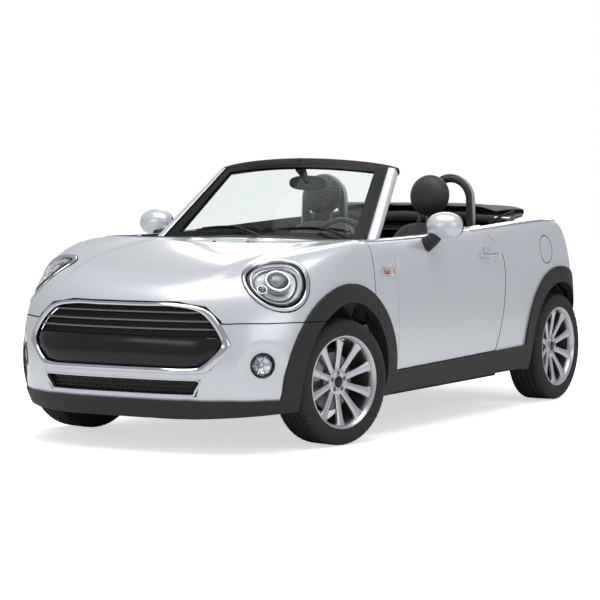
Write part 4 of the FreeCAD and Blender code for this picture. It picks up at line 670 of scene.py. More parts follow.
def make_tyre(name, body, matrix, depth):
    piece = Piece("tyre_" + name + "_tread")
    outer = WHEEL_SPOT["tyre"]
    profile = list(SIDEWALL)
    for middle in FURROWS:
        profile += [(middle + 0.0055, outer - 0.0006), (middle + 0.0045, outer - depth),
                    (middle - 0.0045, outer - depth), (middle - 0.0055, outer - 0.0004)]
    piece.add(turned(profile + [(-y, r) for y, r in reversed(profile)], 128), "tyre_rubber", matrix)
    section = ((-0.0026, 0.0), (0.0026, 0.0), (0.0018, -0.0045), (-0.0018, -0.0045))
    points, faces = lofted([[(dx + (y - SIPE[0][0]) * SIPE_LEAN, y, r + lift) for dx, lift in section]
                            for y, r in SIPE])
    # Each sipe is a gloss-black strip on the rubber: painted shade for its slit
    for mirror in (1, -1):
        sipe = [(x * mirror, y * mirror, z) for x, y, z in points]
        copied(piece, (sipe, faces), SIPES, "gloss_black", matrix)
    piece.done(body, ["tyre_" + name])


def make_calipers(settings):
    # Brake callipers over the discs and dust shields behind them, on the knuckles and the rear axle.
    ease, sweep, steps = 0.004, math.radians(46), 8
    shield = ((-0.020, 0.052), (-0.016, 0.056), (-0.016, 0.150), (-0.012, 0.157), (-0.014, 0.159),
              (-0.020, 0.152))
    shield_half, shield_steps = math.radians(110), 20
    for name, _, matrix in wheel_places():
        front, left = name.startswith("front"), "left" in name
        carrier = ("left_knuckle" if left else "right_knuckle") if front else "shell"
        piece = Piece("caliper_" + name)
        middle = math.radians(62 if front else 66) * (1 if left else -1)
        for y_low, y_high, r_low, r_high in ((0.006, 0.030, 0.100, 0.152), (-0.034, -0.014, 0.100, 0.152),
                                             (-0.034, 0.030, 0.148, 0.165)):
            rings = []
            for k in range(steps + 1):
                angle = middle + sweep * (k / steps - 0.5)
                pinch = 0.006 if k in (0, steps) else 0.0
                a, b, c, d = y_low + pinch, y_high - pinch, r_low + pinch, r_high - pinch
                rings.append([(r * math.sin(angle), y, r * math.cos(angle)) for y, r in (
                    (a, c + ease), (a + ease, c), (b - ease, c), (b, c + ease),
                    (b, d - ease), (b - ease, d), (a + ease, d), (a, d - ease))])
            piece.add(lofted(rings), "cast_metal", matrix)
        angles = [shield_half * (k / shield_steps - 1) for k in range(2 * shield_steps + 1)]
        piece.add(lofted([[(r * math.sin(t), y, r * math.cos(t)) for y, r in shield] for t in angles]),
                  "underbody", matrix)
        piece.done(carrier)


def skin_ray(x, y, z, way):
    # The skin's place and normal met by a ray.
    spot = SKIN.tree.ray_cast(Vector((x, y, z)), Vector(way))[0]
    return SKIN.nearest(spot or Vector((x, y, z)))


def axes_of(normal):
    # Three directions: across, nearest to upward, and along the normal.
    n = Vector(normal).normalized()
    across = Vector((0, 0, 1)).cross(n).normalized()
    return across, n.cross(across), n


def lamp_frame(place, normal):
    return Matrix.Translation(place) @ Matrix(axes_of(normal)).transposed().to_4x4()


def on_skin_loop(centre, normal, radius, count, stand=0.0):
    # Points where a round cutter along a normal meets the skin.
    across, up, n = axes_of(normal)
    out = []
    for t in turns(count):
        start = Vector(centre) + (across * math.cos(t) + up * math.sin(t)) * radius + n * CUTTER_START
        hit = SKIN.tree.ray_cast(start, -n)[0] or SKIN.nearest(start - n * CUTTER_START)[0]
        out.append(hit + SKIN.nearest(hit)[1] * stand)
    return out


def nose_spot(spot, side=1):
    # A lamp's place and direction on one side.
    place, normal = spot
    return Vector((place[0], side * place[1], place[2])), Vector((normal[0], side * normal[1], normal[2]))


def skin_disc(place, normal, rings, count, flutes=0, depth=0.0):
    # A round surface in the skin's own curve: (radius, stand) rings from outside to inside, some fluted.
    rows = [on_skin_loop(place, normal, r, count, stand) for r, stand in rings]
    if flutes:
        sink = [normal * depth * (0.5 + 0.5 * math.cos(math.tau * flutes * k / count)) for k in range(count)]
        rows[1:-1] = [[p - way for p, way in zip(row, sink)] for row in rows[1:-1]]
    return lofted(rows, caps=False)


def add_layers(piece, place, normal, layers, sunk=0.0):
    # Round layers in the skin's curve: the finish, the sides, the rings, then the flutes and their depth.
    for material, sides, rings, *flutes in layers:
        rings = [(r, stand - sunk) for r, stand in rings]
        piece.add(skin_disc(place, normal, rings, sides, *flutes), material)


# A headlamp's seal, lens, fluted bowl, two rings and housing
HEADLAMP_LAYERS = (
    ("gloss_black", 80, ((0.1405, -0.040), (0.1405, -0.008), (0.1398, -0.0055), (0.1350, -0.0055),
                         (0.1340, -0.008), (0.1335, -0.030))),
    ("clear_lens", 80, ((0.1335, -0.016), (0.1335, -0.007), (0.128, -0.0045), (0.083, -0.002),
                        (0.041, -0.001), (0.0005, 0.0), (0.0005, -0.003), (0.041, -0.004),
                        (0.083, -0.005), (0.128, -0.0075), (0.1325, -0.016), (0.1335, -0.016))),
    ("lamp_silver", 216, ((0.1333, -0.017), (0.1280, -0.020), (0.1150, -0.030), (0.0980, -0.041),
                          (0.0780, -0.049), (0.0005, -0.056)), 54, 0.0022),
    ("satin_silver", 80, ((0.1292, -0.016), (0.1270, -0.0125), (0.1225, -0.0125), (0.1205, -0.016),
                          (0.1210, -0.022))),
    ("gloss_black", 80, ((0.1120, -0.0275), (0.1090, -0.0245), (0.1060, -0.0260), (0.1045, -0.034))),
    ("cabin_plastic", 64, ((0.1400, -0.031), (0.1370, -0.030), (0.1340, -0.031), (0.1300, -0.058),
                           (0.1180, -0.067), (0.0005, -0.0695))),
)
LAMP_RING_LAYERS = (
    ("gloss_black", 112, ((0.1680, -0.006), (0.1680, 0.0006), (0.1665, 0.0012), (0.1640, 0.0008),
                          (0.1636, -0.006))),
    ("chrome", 112, ((0.1640, -0.010), (0.1638, 0.0010), (0.1620, 0.0042), (0.1580, 0.0058), (0.1525, 0.0050),
                     (0.1480, 0.0012), (0.1458, -0.0060), (0.1452, -0.0200))),
)
FOG_LAMP_LAYERS = (
    ("gloss_black", 56, ((0.0615, -0.030), (0.0615, 0.000), (0.0600, 0.004), (0.0560, 0.004), (0.0530, 0.001),
                         (0.0505, -0.010), (0.0500, -0.030))),
    ("clear_lens", 56, ((0.0503, -0.012), (0.0500, -0.006), (0.040, -0.001), (0.020, 0.001), (0.0005, 0.0015),
                        (0.0005, -0.0015), (0.020, -0.002), (0.040, -0.004), (0.0495, -0.009),
                        (0.0503, -0.012))),
    ("chrome", 56, ((0.0502, -0.014), (0.045, -0.024), (0.032, -0.034), (0.0005, -0.040))),
)
# The eyes in a headlamp, as (across, up, radius), and their tube, step and glass as (share, height)
LAMP_EYES = ((0.010, 0.010, 0.040), (-0.074, -0.044, 0.016))
EYE_PARTS = (("chrome", ((1.62, -0.054), (1.58, -0.030), (1.48, -0.0245), (1.34, -0.0245), (1.26, -0.031))),
             ("gloss_black", ((1.26, -0.031), (1.16, -0.040), (1.0, -0.042))),
             ("lamp_eye", ((1.0, -0.042), (0.97, -0.034), (0.86, -0.026), (0.64, -0.019), (0.34, -0.015),
                           (0.0, -0.014))))


def make_headlamps(settings):
    piece = Piece("headlamp_units")
    bracket = ((1.420, 0.592), (1.460, 0.545), (1.460, 0.806), (1.454, 0.812), (1.426, 0.812), (1.420, 0.806))
    for side in (1, -1):
        place, normal = nose_spot(LAMP_SPOT, side)
        matrix = lamp_frame(place, normal)
        add_layers(piece, place, normal, HEADLAMP_LAYERS)
        piece.add(lofted([[(x, side * y, z) for x, z in bracket] for y in (0.590, 0.596, 0.664, 0.670)]),
                  "cabin_plastic")
        for across, up, wide in LAMP_EYES:
            for material, profile in EYE_PARTS:
                piece.add(bowl([(wide * share, h) for share, h in profile], 48), material,
                          matrix @ Matrix.Translation((across * side, up, 0)))
    piece.done("shell", ["headlamps"])


def make_fog_lamps(settings):
    piece = Piece("fog_lamp_units")
    sunk = settings.scoop_depth
    bulb = ((0.014, -0.036), (0.014, -0.026), (0.011, -0.020), (0.005, -0.017), (0.0, -0.016))
    ribs, rib_turn, rib_depth = 6, 8, 0.004
    for side in (1, -1):
        place, normal = nose_spot(FOG_SPOT, side)
        matrix = lamp_frame(place, normal)
        add_layers(piece, place, normal, FOG_LAMP_LAYERS, sunk)
        piece.add(bowl([(r, h - sunk) for r, h in bulb], 24), "satin_silver", matrix)
        for k in range(ribs):
            edges = [math.radians(360 / ribs * k + turn) for turn in (0, rib_turn)]
            rib = [matrix @ Vector((r * math.cos(t), r * math.sin(t), h - sunk))
                   for r, h in ((0.018, -0.030), (0.046, -0.018)) for t in edges]
            faces = [(0, 1, 3, 2), (4, 6, 7, 5), (0, 2, 6, 4), (1, 5, 7, 3), (0, 4, 5, 1), (2, 3, 7, 6)]
            piece.add((rib + [p - normal * rib_depth for p in rib], faces), "satin_silver", smooth=False)
    piece.done("shell", ["fog_lamps"])


# The grille's opening as (half width, height) shares and its real size, and the lower intake's two edges
GRILLE_SHARES = ((0.52, 1.0), (0.76, 0.93), (0.90, 0.74), (1.0, 0.46), (0.985, 0.30), (0.86, 0.06),
                 (0.74, 0.0))
GRILLE_INNER, GRILLE_OUTER = (0.538, 0.414, 0.700), (0.578, 0.388, 0.718)
INTAKE = ((0.451, 0.363), (0.422, 0.279))


def grille_half(z, inset=0.0):
    # Half the width of the grille's opening at a height.
    half, low, high = GRILLE_INNER
    share = (z - low) / (high - low)
    for (a, b), (c, d) in zip(GRILLE_SHARES, GRILLE_SHARES[1:]):
        if d <= share <= b:
            return half * (c + (a - c) * (share - d) / (b - d)) - inset
    return half * 0.5 - inset


def intake_half(z):
    # Half the width of the lower intake at a height.
    (top_half, top), (bottom_half, bottom) = INTAKE
    return bottom_half + (top_half - bottom_half) * (z - bottom) / (top - bottom)


def nose_face(y, z, depth=0.0):
    # The place on the nose ahead of a point across the car, set back by a depth.
    return SKIN.tree.ray_cast(Vector((3, y, z)), Vector((-1, 0, 0)))[0] - Vector((depth, 0, 0))


def nose_band(piece, heights, half_at, depth, columns=60):
    # A dark wall behind the nose between heights.
    rows = [[nose_face(half_at(z) * (2 * k / columns - 1), z, depth) for k in range(columns + 1)]
            for z in heights]
    piece.add(lofted(rows, closed=False), "cabin_plastic")


def nose_lattice(piece, columns, rows, pitch, low, inside, depth, material):
    # Six-sided cells wrapped over the nose and trimmed to an opening.
    outer, inner, deep = pitch * 0.577, pitch * 0.50, 0.005
    points = [(r * math.sin(math.tau * k / 6), r * math.cos(math.tau * k / 6), h)
              for r, h in ((outer, 0), (inner, 0), (inner, -deep), (outer, -deep)) for k in range(6)]
    faces = [(i * 6 + k, i * 6 + (k + 1) % 6, (i + 1) % 4 * 6 + (k + 1) % 6, (i + 1) % 4 * 6 + k)
             for i in range(4) for k in range(6)]
    bm = grown((points, faces), lattice_tree, {"Columns": columns, "Rows": rows, "Pitch": pitch,
                                               "Material": MATERIALS[material]})
    doomed = []
    for v in bm.verts:
        y, z = v.co.x - columns * pitch / 2, v.co.y + low
        if inside(y, z):
            v.co = nose_face(y, z, depth - v.co.z)
        else:
            doomed.append(v)
    bmesh.ops.delete(bm, geom=doomed, context="VERTS")
    piece.join(bm, material)


def add_slats(piece, columns=64):
    section = ((0.0, 0.0), (-0.001, 0.0028), (-0.024, 0.0042), (-0.024, -0.0020), (-0.001, -0.0030))
    for z in (0.6735, 0.6330, 0.5960):
        half = grille_half(z, 0.001)
        faces = [nose_face(half * (2 * k / columns - 1), z, 0.006) for k in range(columns + 1)]
        piece.add(lofted([[face + Vector((dx, 0, dz)) for dx, dz in section] for face in faces]), "grey_rail")


def add_grille_shield(piece, columns=72):
    # The closed lower half of the grille: (height, depth) rows, set back at its ends.
    shape = ((0.4165, 0.030), (0.4185, 0.014), (0.432, 0.007), (0.480, 0.003), (0.530, 0.003), (0.552, 0.004),
             (0.5585, 0.007), (0.5600, 0.012), (0.5605, 0.028))
    end_width, end_depth = 0.055, 0.010
    rows = []
    for z, depth in shape:
        half = grille_half(z, 0.002)
        row = []
        for k in range(columns + 1):
            y = half * (2 * k / columns - 1)
            edge = max(0.0, (abs(y) - half + end_width) / end_width)
            row.append(nose_face(y, z, depth + end_depth * edge * edge))
        rows.append(row)
    piece.add(lofted(rows, closed=False), "gloss_black")


def add_intake_frame(piece):
    # The thin bright frame of the lower intake, round its eased corners.
    (top_half, top), (bottom_half, bottom) = INTAKE
    corner, gap, spacing = 0.018, 0.003, 0.03
    loop = []
    for side, z, half, turn in ((1, top, top_half, 0), (1, bottom, bottom_half, -90),
                                (-1, bottom, bottom_half, 180), (-1, top, top_half, 90)):
        centre = Vector((side * (half - corner - gap), z + (corner + gap) * (1 if z == bottom else -1)))
        angles = [math.radians(turn + 90 - 22.5 * k) for k in range(5)]
        loop += [centre + Vector((math.cos(a), math.sin(a))) * corner for a in angles]
    dense = []
    for a, b in zip(loop, loop[1:] + loop[:1]):
        count = max(1, int((b - a).length / spacing))
        dense += [a.lerp(b, k / count) for k in range(count)]
    rings = []
    for k, spot in enumerate(dense):
        way = (dense[(k + 1) % len(dense)] - dense[k - 1]).normalized()
        rings.append([nose_face(spot.x - way.y * w, spot.y + way.x * w, -lift) for w, lift in (
            (0.006, -0.004), (0.005, 0.0015), (0.0, 0.0025), (-0.005, 0.0005), (-0.006, -0.020))])
    piece.add(lofted(rings + rings[:1], caps=False), "satin_silver")


def make_grilles(settings):
    piece = Piece("grille_detail")
    _, low, high = GRILLE_INNER
    heights = [low - 0.012 + (high - low + 0.024) * k / 12 for k in range(13)]
    nose_band(piece, heights, lambda z: grille_half(min(max(z, low), high)) + 0.004, 0.040)
    nose_lattice(piece, 62, 11, 0.0175, 0.560,
                 lambda y, z: z < high - 0.002 and abs(y) < grille_half(z, 0.003), 0.026, "dark_cladding")
    add_slats(piece)
    add_grille_shield(piece)
    (_, top), (_, bottom) = INTAKE
    heights = [bottom - 0.004 + (top - bottom + 0.008) * k / 4 for k in range(5)]
    nose_band(piece, heights, lambda z: intake_half(z) + 0.004, 0.045)
    nose_lattice(piece, 42, 6, 0.0225, bottom - 0.004,
                 lambda y, z: bottom < z < top and abs(y) < intake_half(z) - 0.004, 0.024, "gloss_black")
    add_intake_frame(piece)
    piece.done("shell", ["grilles"], weld=1e-6)


HEADER_UP = 0.968


def screen_spot(across, up, depth=0.0):
    # A place on the screen: across from -1 to 1, up from 0 to 1, depth towards the cabin.
    bow = 1 - across * across
    low = Vector((0.600 + 0.040 * bow, across * 0.695, 0.962))
    high = Vector((0.092 + 0.080 * bow, across * 0.552, 1.366 + 0.044 * bow))
    run = high - low
    back = Vector((-run.z, 0, run.x)).normalized()
    return low + run * up + back * depth


def screen_shell(piece, across, ups, near, far, material, columns=32):
    # A closed slab that follows the screen's curve.
    rings = []
    for k in range(columns + 1):
        a = across[0] + (across[1] - across[0]) * k / columns
        rings.append([screen_spot(a, u, near) for u in ups] + [screen_spot(a, u, far) for u in reversed(ups)])
    piece.add(lofted(rings), material)


def clear_of_hinge(place, side):
    # Keeps a place outside the round in which the door's front edge swings.
    hinge, reach = Vector((0.555, side * 0.790, place.z)), 0.114
    way = place - hinge
    return hinge + way.normalized() * reach if way.length < reach else place


def add_pillar(piece, side):
    pillar_across, rows, sides, roundness = 0.952, 24, 20, 0.62
    rings = []
    for k in range(rows + 1):
        up = -0.02 + 0.985 * k / rows
        wide, deep = 0.030 - 0.004 * up, 0.024
        centre = screen_spot(side * pillar_across, up, 0.026)
        along = (screen_spot(side, up) - screen_spot(side * 0.85, up)).normalized()
        back = (screen_spot(side * pillar_across, up, 1) - screen_spot(side * pillar_across, up)).normalized()
        rings.append([clear_of_hinge(centre + along * wide * boxed(math.cos(t), roundness)
                                     + back * deep * boxed(math.sin(t), roundness), side)
                      for t in turns(sides)])
    piece.add(lofted(rings), "silver_paint")


def add_header(piece):
    # The dark header across the screen's top, from its own section, drawn in towards its ends.
    section = ((0.024, -0.020), (0.0275, -0.010), (0.027, 0.012), (0.022, 0.026), (0.006, 0.030),
               (-0.014, 0.028), (-0.024, 0.018), (-0.026, 0.0), (-0.022, -0.018), (-0.004, -0.0255),
               (0.014, -0.0255))
    rings = []
    for k in range(49):
        across = -1.0 + 2.0 * k / 48
        centre = screen_spot(across, HEADER_UP, 0.026)
        squeeze = 1.0 - 0.35 * abs(across) ** 12
        rings.append([centre + Vector((-0.78 * a - 0.62 * b, 0, 0.62 * a - 0.78 * b)) * squeeze
                      for a, b in section])
    piece.add(lofted(rings), "header_black")


def make_screen(settings):
    piece = Piece("windscreen_surround")
    band_ups = [k / 16 * 0.97 for k in range(17)]
    for side in (1, -1):
        add_pillar(piece, side)
        screen_shell(piece, (side * 0.80, side * 0.915), band_ups, 0.007, 0.030, "screen_band", 8)
        screen_shell(piece, (side * 0.905, side * 0.918), band_ups, 0.003, 0.034, "header_black", 2)
    add_header(piece)
    screen_shell(piece, (-0.83, 0.83), [0.895, 0.92, 0.945, 0.96], 0.007, 0.012, "screen_band")
    screen_shell(piece, (-0.90, 0.90), [-0.01, 0.04, 0.09, 0.125], 0.004, 0.034, "screen_band")
    knob = ((0.020, -0.014), (0.020, 0.004), (0.017, 0.011), (0.009, 0.016), (0.0, 0.0175))
    spot = (screen_spot(0, HEADER_UP).x - 0.014, 0, CAD_HIGH[2] - 0.0185)
    piece.add(bowl(knob, 24), "header_black", Matrix.Translation(spot))
    piece.done("shell", ["windscreen_frame"])
    glass = Piece("windscreen_glass")
    screen_shell(glass, (-0.885, 0.885), [0.125 + 0.835 * k / 20 for k in range(21)], 0.0125, 0.0165,
                 "screen_glass", 40)
    glass.done("shell", ["windscreen"])


def make_wipers(settings):
    piece = Piece("wiper_arms")
    for root, tip in ((-0.62, 0.02), (0.10, 0.78)):
        blade = [screen_spot(root + (tip - root) * k / 24, 0.140 + 0.020 * math.sin(math.pi * k / 24), -0.004)
                 for k in range(25)]
        piece.add(swept(blade, 0.0045, 8), "dark_cladding")
        spine = [p + Vector((0.002, 0, 0.007)) for p in blade[2:-2]]
        bulge = [0.003 + 0.004 * math.sin(math.pi * k / (len(spine) - 1)) for k in range(len(spine))]
        piece.add(swept(spine, bulge, 8), "gloss_black")
        pivot = screen_spot(tip, 0.055, -0.010)
        middle = blade[12] + Vector((0.004, 0, 0.012))
        arm = smooth_curve([pivot, pivot.lerp(middle, 0.35) + Vector((0.008, 0, 0.010)),
                            pivot.lerp(middle, 0.75) + Vector((0.005, 0, 0.009)), middle], 20)
        piece.add(swept(arm, [0.010 - 0.006 * k / 20 for k in range(21)]), "dark_cladding")
        piece.add(bowl([(0.016, -0.022), (0.016, 0.0), (0.013, 0.006), (0.0, 0.008)], 20), "dark_cladding",
                  Matrix.Translation(pivot))
    piece.done("shell", ["wipers"])
    jets = Piece("washer_jets")
    jet = ((0.011, -0.004), (0.012, 0.003), (0.009, 0.008), (0.004, 0.0095), (0.0, 0.010))
    for side in (1, -1):
        spot = skin_ray(0.879, side * 0.103, 2.0, (0, 0, -1))
        jets.add(bowl(jet, 20, 1.0, 0.8), "dark_cladding", lamp_frame(*spot))
    jets.done("bonnet_leaf")


def make_door_mirror(side, name):
    piece = Piece("mirror_%s_unit" % name)
    centre, wide, tall, power = Vector((0.250, side * 0.905, 1.051)), 0.100, 0.073, 2 / 2.15
    oval = [(side * wide * boxed(math.cos(t), power), tall * boxed(math.sin(t), power)) for t in turns(48)]

    def rings_at(shares):
        return [[centre + Vector((x, y * share, z * share)) for y, z in oval] for share, x in shares]

    cap = [(math.sqrt(max(0.0, 1 - (k / 14) ** 2.4)), -0.030 + 0.084 * k / 14) for k in range(15)]
    cap[-1] = (0.02, cap[-1][1])
    piece.add(lofted(rings_at([(0.985, -0.034)] + cap)), "silver_paint")
    piece.add(lofted(rings_at(((0.97, -0.032), (0.985, -0.036), (0.975, -0.050), (0.93, -0.0545),
                               (0.885, -0.0545), (0.870, -0.049), (0.860, -0.040)))), "gloss_black")
    piece.add(lofted(rings_at(((0.868, -0.0475), (0.868, -0.0490), (0.50, -0.0495), (0.01, -0.0497)))),
              "mirror_glass")
    foot, normal = skin_ray(0.268, side * 2.0, 0.955, (0, -side, 0))
    path = smooth_curve([foot - normal * 0.012, foot + normal * 0.010 + Vector((0, 0, 0.004)),
                         foot.lerp(centre, 0.45) + Vector((0, side * 0.006, -0.006)),
                         centre + Vector((0.006, -side * 0.020, -0.030))], 14)
    radii = [0.041 - 0.013 * (k / 14) ** 1.3 for k in range(15)]
    piece.add(swept(path, radii, 28), "dark_cladding")
    for k in (3, 6):
        piece.add(swept([path[k], path[k].lerp(path[k + 1], 0.25)], radii[k] + 0.0012, 28), "gloss_black")
    piece.done(name + "_door", ["mirror_" + name])


def make_mirrors(settings):
    make_door_mirror(1, "left")
    make_door_mirror(-1, "right")
    inside = Piece("interior_mirror_unit")
    height = 1.272
    oval = [(0.116 * boxed(math.cos(t), 0.8), 0.040 * boxed(math.sin(t), 0.8)) for t in turns(40)]
    rings = [[Vector((x, y * share, height + z * share)) for y, z in oval]
             for share, x in ((0.90, 0.100), (1.0, 0.096), (1.0, 0.086), (0.93, 0.0800), (0.90, 0.0800))]
    inside.add(lofted(rings), "cabin_plastic")
    inside.add(lofted([[Vector((x, p.y * wide, height + (p.z - height) * tall)) for p in rings[-1]]
                       for x, wide, tall in ((0.0795, 1.0, 1.0), (0.0790, 0.97, 0.95))]), "mirror_glass")
    stem = smooth_curve([(0.098, 0, 1.280), (0.125, 0, 1.300), (0.150, 0, 1.330), (0.175, 0, 1.352)], 12)
    inside.add(swept(stem, [0.015 + 0.0011 * k for k in range(13)], 18), "cabin_plastic")
    inside.done("shell", ["interior_mirror"])


def eased_pad(half, power=5.0, cuts=16, shape=None):
    # A stuffed block as a bmesh: rounded edges, full faces, then its own shape.
    bm = bmesh.new()
    bmesh.ops.create_cube(bm, size=2.0)
    bmesh.ops.subdivide_edges(bm, edges=bm.edges[:], cuts=cuts, use_grid_fill=True)
    for v in bm.verts:
        size = sum(abs(c) ** power for c in v.co) ** (1 / power)
        unit = v.co / size
        place = Vector([unit[k] * half[k] for k in range(3)])
        v.co = shape(place, unit) if shape else place
    return bm


def groove(value, place, width, depth):
    # A sewn seam: how far the cover sinks near a line.
    return -depth * math.exp(-((value - place) / width) ** 2)


# The front seats' place across the car, their side seams and the ripple of their cloth
SEAT_ACROSS, SIDE_SEAM, RIPPLE = 0.350, 0.56, 0.0012


def side_bolster(unit, start=0.55):
    return max(0.0, (abs(unit.y) - start) / (1 - start)) ** 1.5


def seat_cushion(place, unit):
    rise = 0.030 * side_bolster(unit) * (1 - 0.4 * max(0.0, unit.x)) + 0.012 * (1 - unit.y ** 2)
    seams = groove(unit.x, -0.25, 0.035, 0.006) + groove(unit.x, 0.35, 0.035, 0.006)
    seams = seams * (abs(unit.y) < SIDE_SEAM) + groove(abs(unit.y), SIDE_SEAM, 0.03, 0.009)
    ripple = RIPPLE * math.sin(31 * place.x + 17 * place.y) * math.sin(23 * place.y - 9 * place.x)
    return place + Vector((0, 0, max(0.0, unit.z) * (rise + seams + ripple)))


def seat_back(place, unit):
    waist = 1.0 - 0.16 * max(0.0, unit.z) ** 2 - 0.04 * max(0.0, -unit.z)
    rise = 0.045 * side_bolster(unit) * (1 - 0.5 * abs(unit.z))
    rise += 0.014 * (1 - unit.y ** 2) * (1 - unit.z ** 2)
    seams = groove(unit.z, -0.30, 0.03, 0.006) + groove(unit.z, 0.25, 0.03, 0.006)
    seams *= abs(unit.y) < SIDE_SEAM
    seams += groove(abs(unit.y), SIDE_SEAM, 0.03, 0.009) + groove(unit.z, 0.74, 0.025, 0.006)
    ripple = RIPPLE * math.sin(29 * place.z + 19 * place.y) * math.sin(21 * place.y - 11 * place.z)
    lift = max(0.0, unit.x) * (rise + seams + ripple) - 0.012 * max(0.0, unit.z)
    return Vector((place.x + lift, place.y * waist, place.z))


def headrest(place, unit):
    # A fat round cushion with a seam near each face; place is a point of the unit ball.
    flat = math.hypot(unit.y, unit.z)
    swell = (1 - abs(unit.x) ** 2.6) ** (1 / 2.6) / max(flat, 1e-6) if flat > 1e-6 else 0
    x, y, z = unit.x * 0.060, unit.y * swell * 0.117, unit.z * swell * 0.117
    bulge = 1 - unit.y ** 2 - unit.z ** 2
    seam = groove(abs(unit.x), 0.55, 0.10, 0.004) * 4
    return Vector((x * (1 + 0.10 * bulge), y * (1 + seam), z * (1 + seam)))


def make_seat_frame(side, name, y):
    # What holds a seat: the headrest's posts, the rails with their feet, the side cover and its lever.
    piece = Piece("seat_frame_" + name)
    for post in (y - 0.060, y + 0.060):
        piece.add(swept([(-0.662, post, 1.000), (-0.676, post, 1.110)], 0.0065, 14), "grey_rail")
        piece.add(bowl([(0.016, 0.0), (0.016, 0.008), (0.010, 0.012), (0.0065, 0.012)], 20), "cabin_plastic",
                  Matrix.Translation((-0.664, post, 1.046)))
    for rail in (y - 0.19, y + 0.19):
        for x0, x1, half, z0, z1, material in ((-0.52, -0.06, 0.020, 0.203, 0.240, "cast_metal"),
                                               (-0.48, -0.10, 0.014, 0.240, 0.330, "cabin_plastic")):
            piece.join(eased_box((x0, rail - half, z0), (x1, rail + half, z1), 0.006), material)
    outer = y + side * 0.236
    low, high = sorted((outer, outer + side * 0.018))
    piece.join(eased_box((-0.52, low, 0.260), (-0.12, high, 0.345), 0.008, 3), "cabin_plastic")
    piece.add(swept([(-0.20, outer + side * 0.016, 0.30), (-0.10, outer + side * 0.018, 0.31)], 0.008, 12),
              "gloss_black")
    piece.done("shell")


def make_seats(settings):
    lean = Matrix.Rotation(math.radians(-13), 4, "Y")
    for side, name in ((1, "left"), (-1, "right")):
        y = side * SEAT_ACROSS
        piece = Piece("seat_pads_" + name)
        piece.join(eased_pad((0.258, 0.248, 0.072), 5.0, 20, seat_cushion), "seat_cloth",
                   Matrix.Translation((-0.300, y, 0.396)))
        piece.join(eased_pad((0.064, 0.246, 0.318), 5.0, 22, seat_back), "seat_cloth",
                   Matrix.Translation((-0.497, y, 0.432)) @ lean @ Matrix.Translation((-0.064, 0, 0.318)))
        piece.done("shell", ["front_seats"])
        rest = Piece("headrest_" + name)
        rest.join(eased_pad((1, 1, 1), 2.0, 20, headrest), "black_leather",
                  Matrix.Translation((-0.678, y, 1.196)) @ Matrix.Rotation(-0.12, 4, "Y"))
        rest.done("shell")
        make_seat_frame(side, name, y)


def bench_dish(unit, along, depth):
    # The hollow of the two seats side by side.
    return depth * math.cos(math.pi * min(1.0, abs(abs(unit.y) - 0.5) / 0.5)) * (1 - along ** 2)


def bench_cushion(place, unit):
    seams = groove(abs(unit.y), 0.06, 0.02, 0.010) + groove(abs(unit.y), 0.92, 0.02, 0.006)
    rise = 0.010 - bench_dish(unit, unit.x, 0.026) * 0.6 + seams
    return place + Vector((0, 0, max(0.0, unit.z) * rise))


def bench_back(place, unit):
    seams = groove(abs(unit.y), 0.06, 0.02, 0.010) + groove(unit.z, 0.55, 0.03, 0.006)
    rise = 0.008 - bench_dish(unit, unit.z, 0.022) * 0.5 + seams
    return place + Vector((max(0.0, unit.x) * rise, 0, 0))


def make_rear_bench(settings):
    piece = Piece("rear_bench_pads")
    for half, place, shape in (((0.178, 0.518, 0.055), (-0.880, 0, 0.504), bench_cushion),
                               ((0.058, 0.518, 0.168), (-1.120, 0, 0.730), bench_back)):
        piece.join(eased_pad(half, 6.0, 26, shape), "seat_cloth", Matrix.Translation(place))
    piece.done("shell", ["rear_bench"])


def make_roll_hoops(settings):
    piece = Piece("roll_hoop_tubes")
    x, half, top, base, steps = -0.812, 0.122, 1.292, 0.905, 64
    band = ((-0.022, 0.006), (-0.024, 0.014), (-0.018, 0.0235), (-0.008, 0.0275), (0.008, 0.0275),
            (0.016, 0.0235), (0.014, 0.0180), (-0.014, 0.0180))
    for side in (1, -1):
        middle = side * 0.415
        path = [(x, middle + half * 1.06, base), (x, middle + half * 1.04, 1.05)]
        path += [(x, middle + half * math.cos(t), top - half + half * math.sin(t))
                 for t in (math.pi * k / 16 for k in range(17))]
        path += [(x, middle - half * 1.04, 1.05), (x, middle - half * 1.06, base)]
        curve = smooth_curve(path, steps)
        piece.add(swept(curve, 0.023, 20), "black_leather")
        rings = []
        for i, place in enumerate(curve):
            way = (curve[min(i + 1, steps)] - curve[max(i - 1, 0)]).normalized()
            out = way.cross(Vector((1, 0, 0)))
            if out.dot(place - Vector((x, middle, top - half))) < 0:
                out = -out
            rings.append([place + Vector((dx, 0, 0)) + out * r for dx, r in band])
        piece.add(lofted(rings), "satin_silver")
        for foot in (middle + half * 1.06, middle - half * 1.06):
            piece.join(eased_box((-0.848, foot - 0.034, 0.900), (-0.776, foot + 0.034, 0.960), 0.010, 3),
                       "cabin_plastic")
    piece.done("shell", ["roll_hoops"])


# The folded roof's stack: its lowest and highest layer, how many, and where they turn
ROOF_LOW, ROOF_HIGH, ROOF_LAYERS, ROOF_FRONT, ROOF_REAR = 1.012, 1.128, 4, -0.925, -1.295


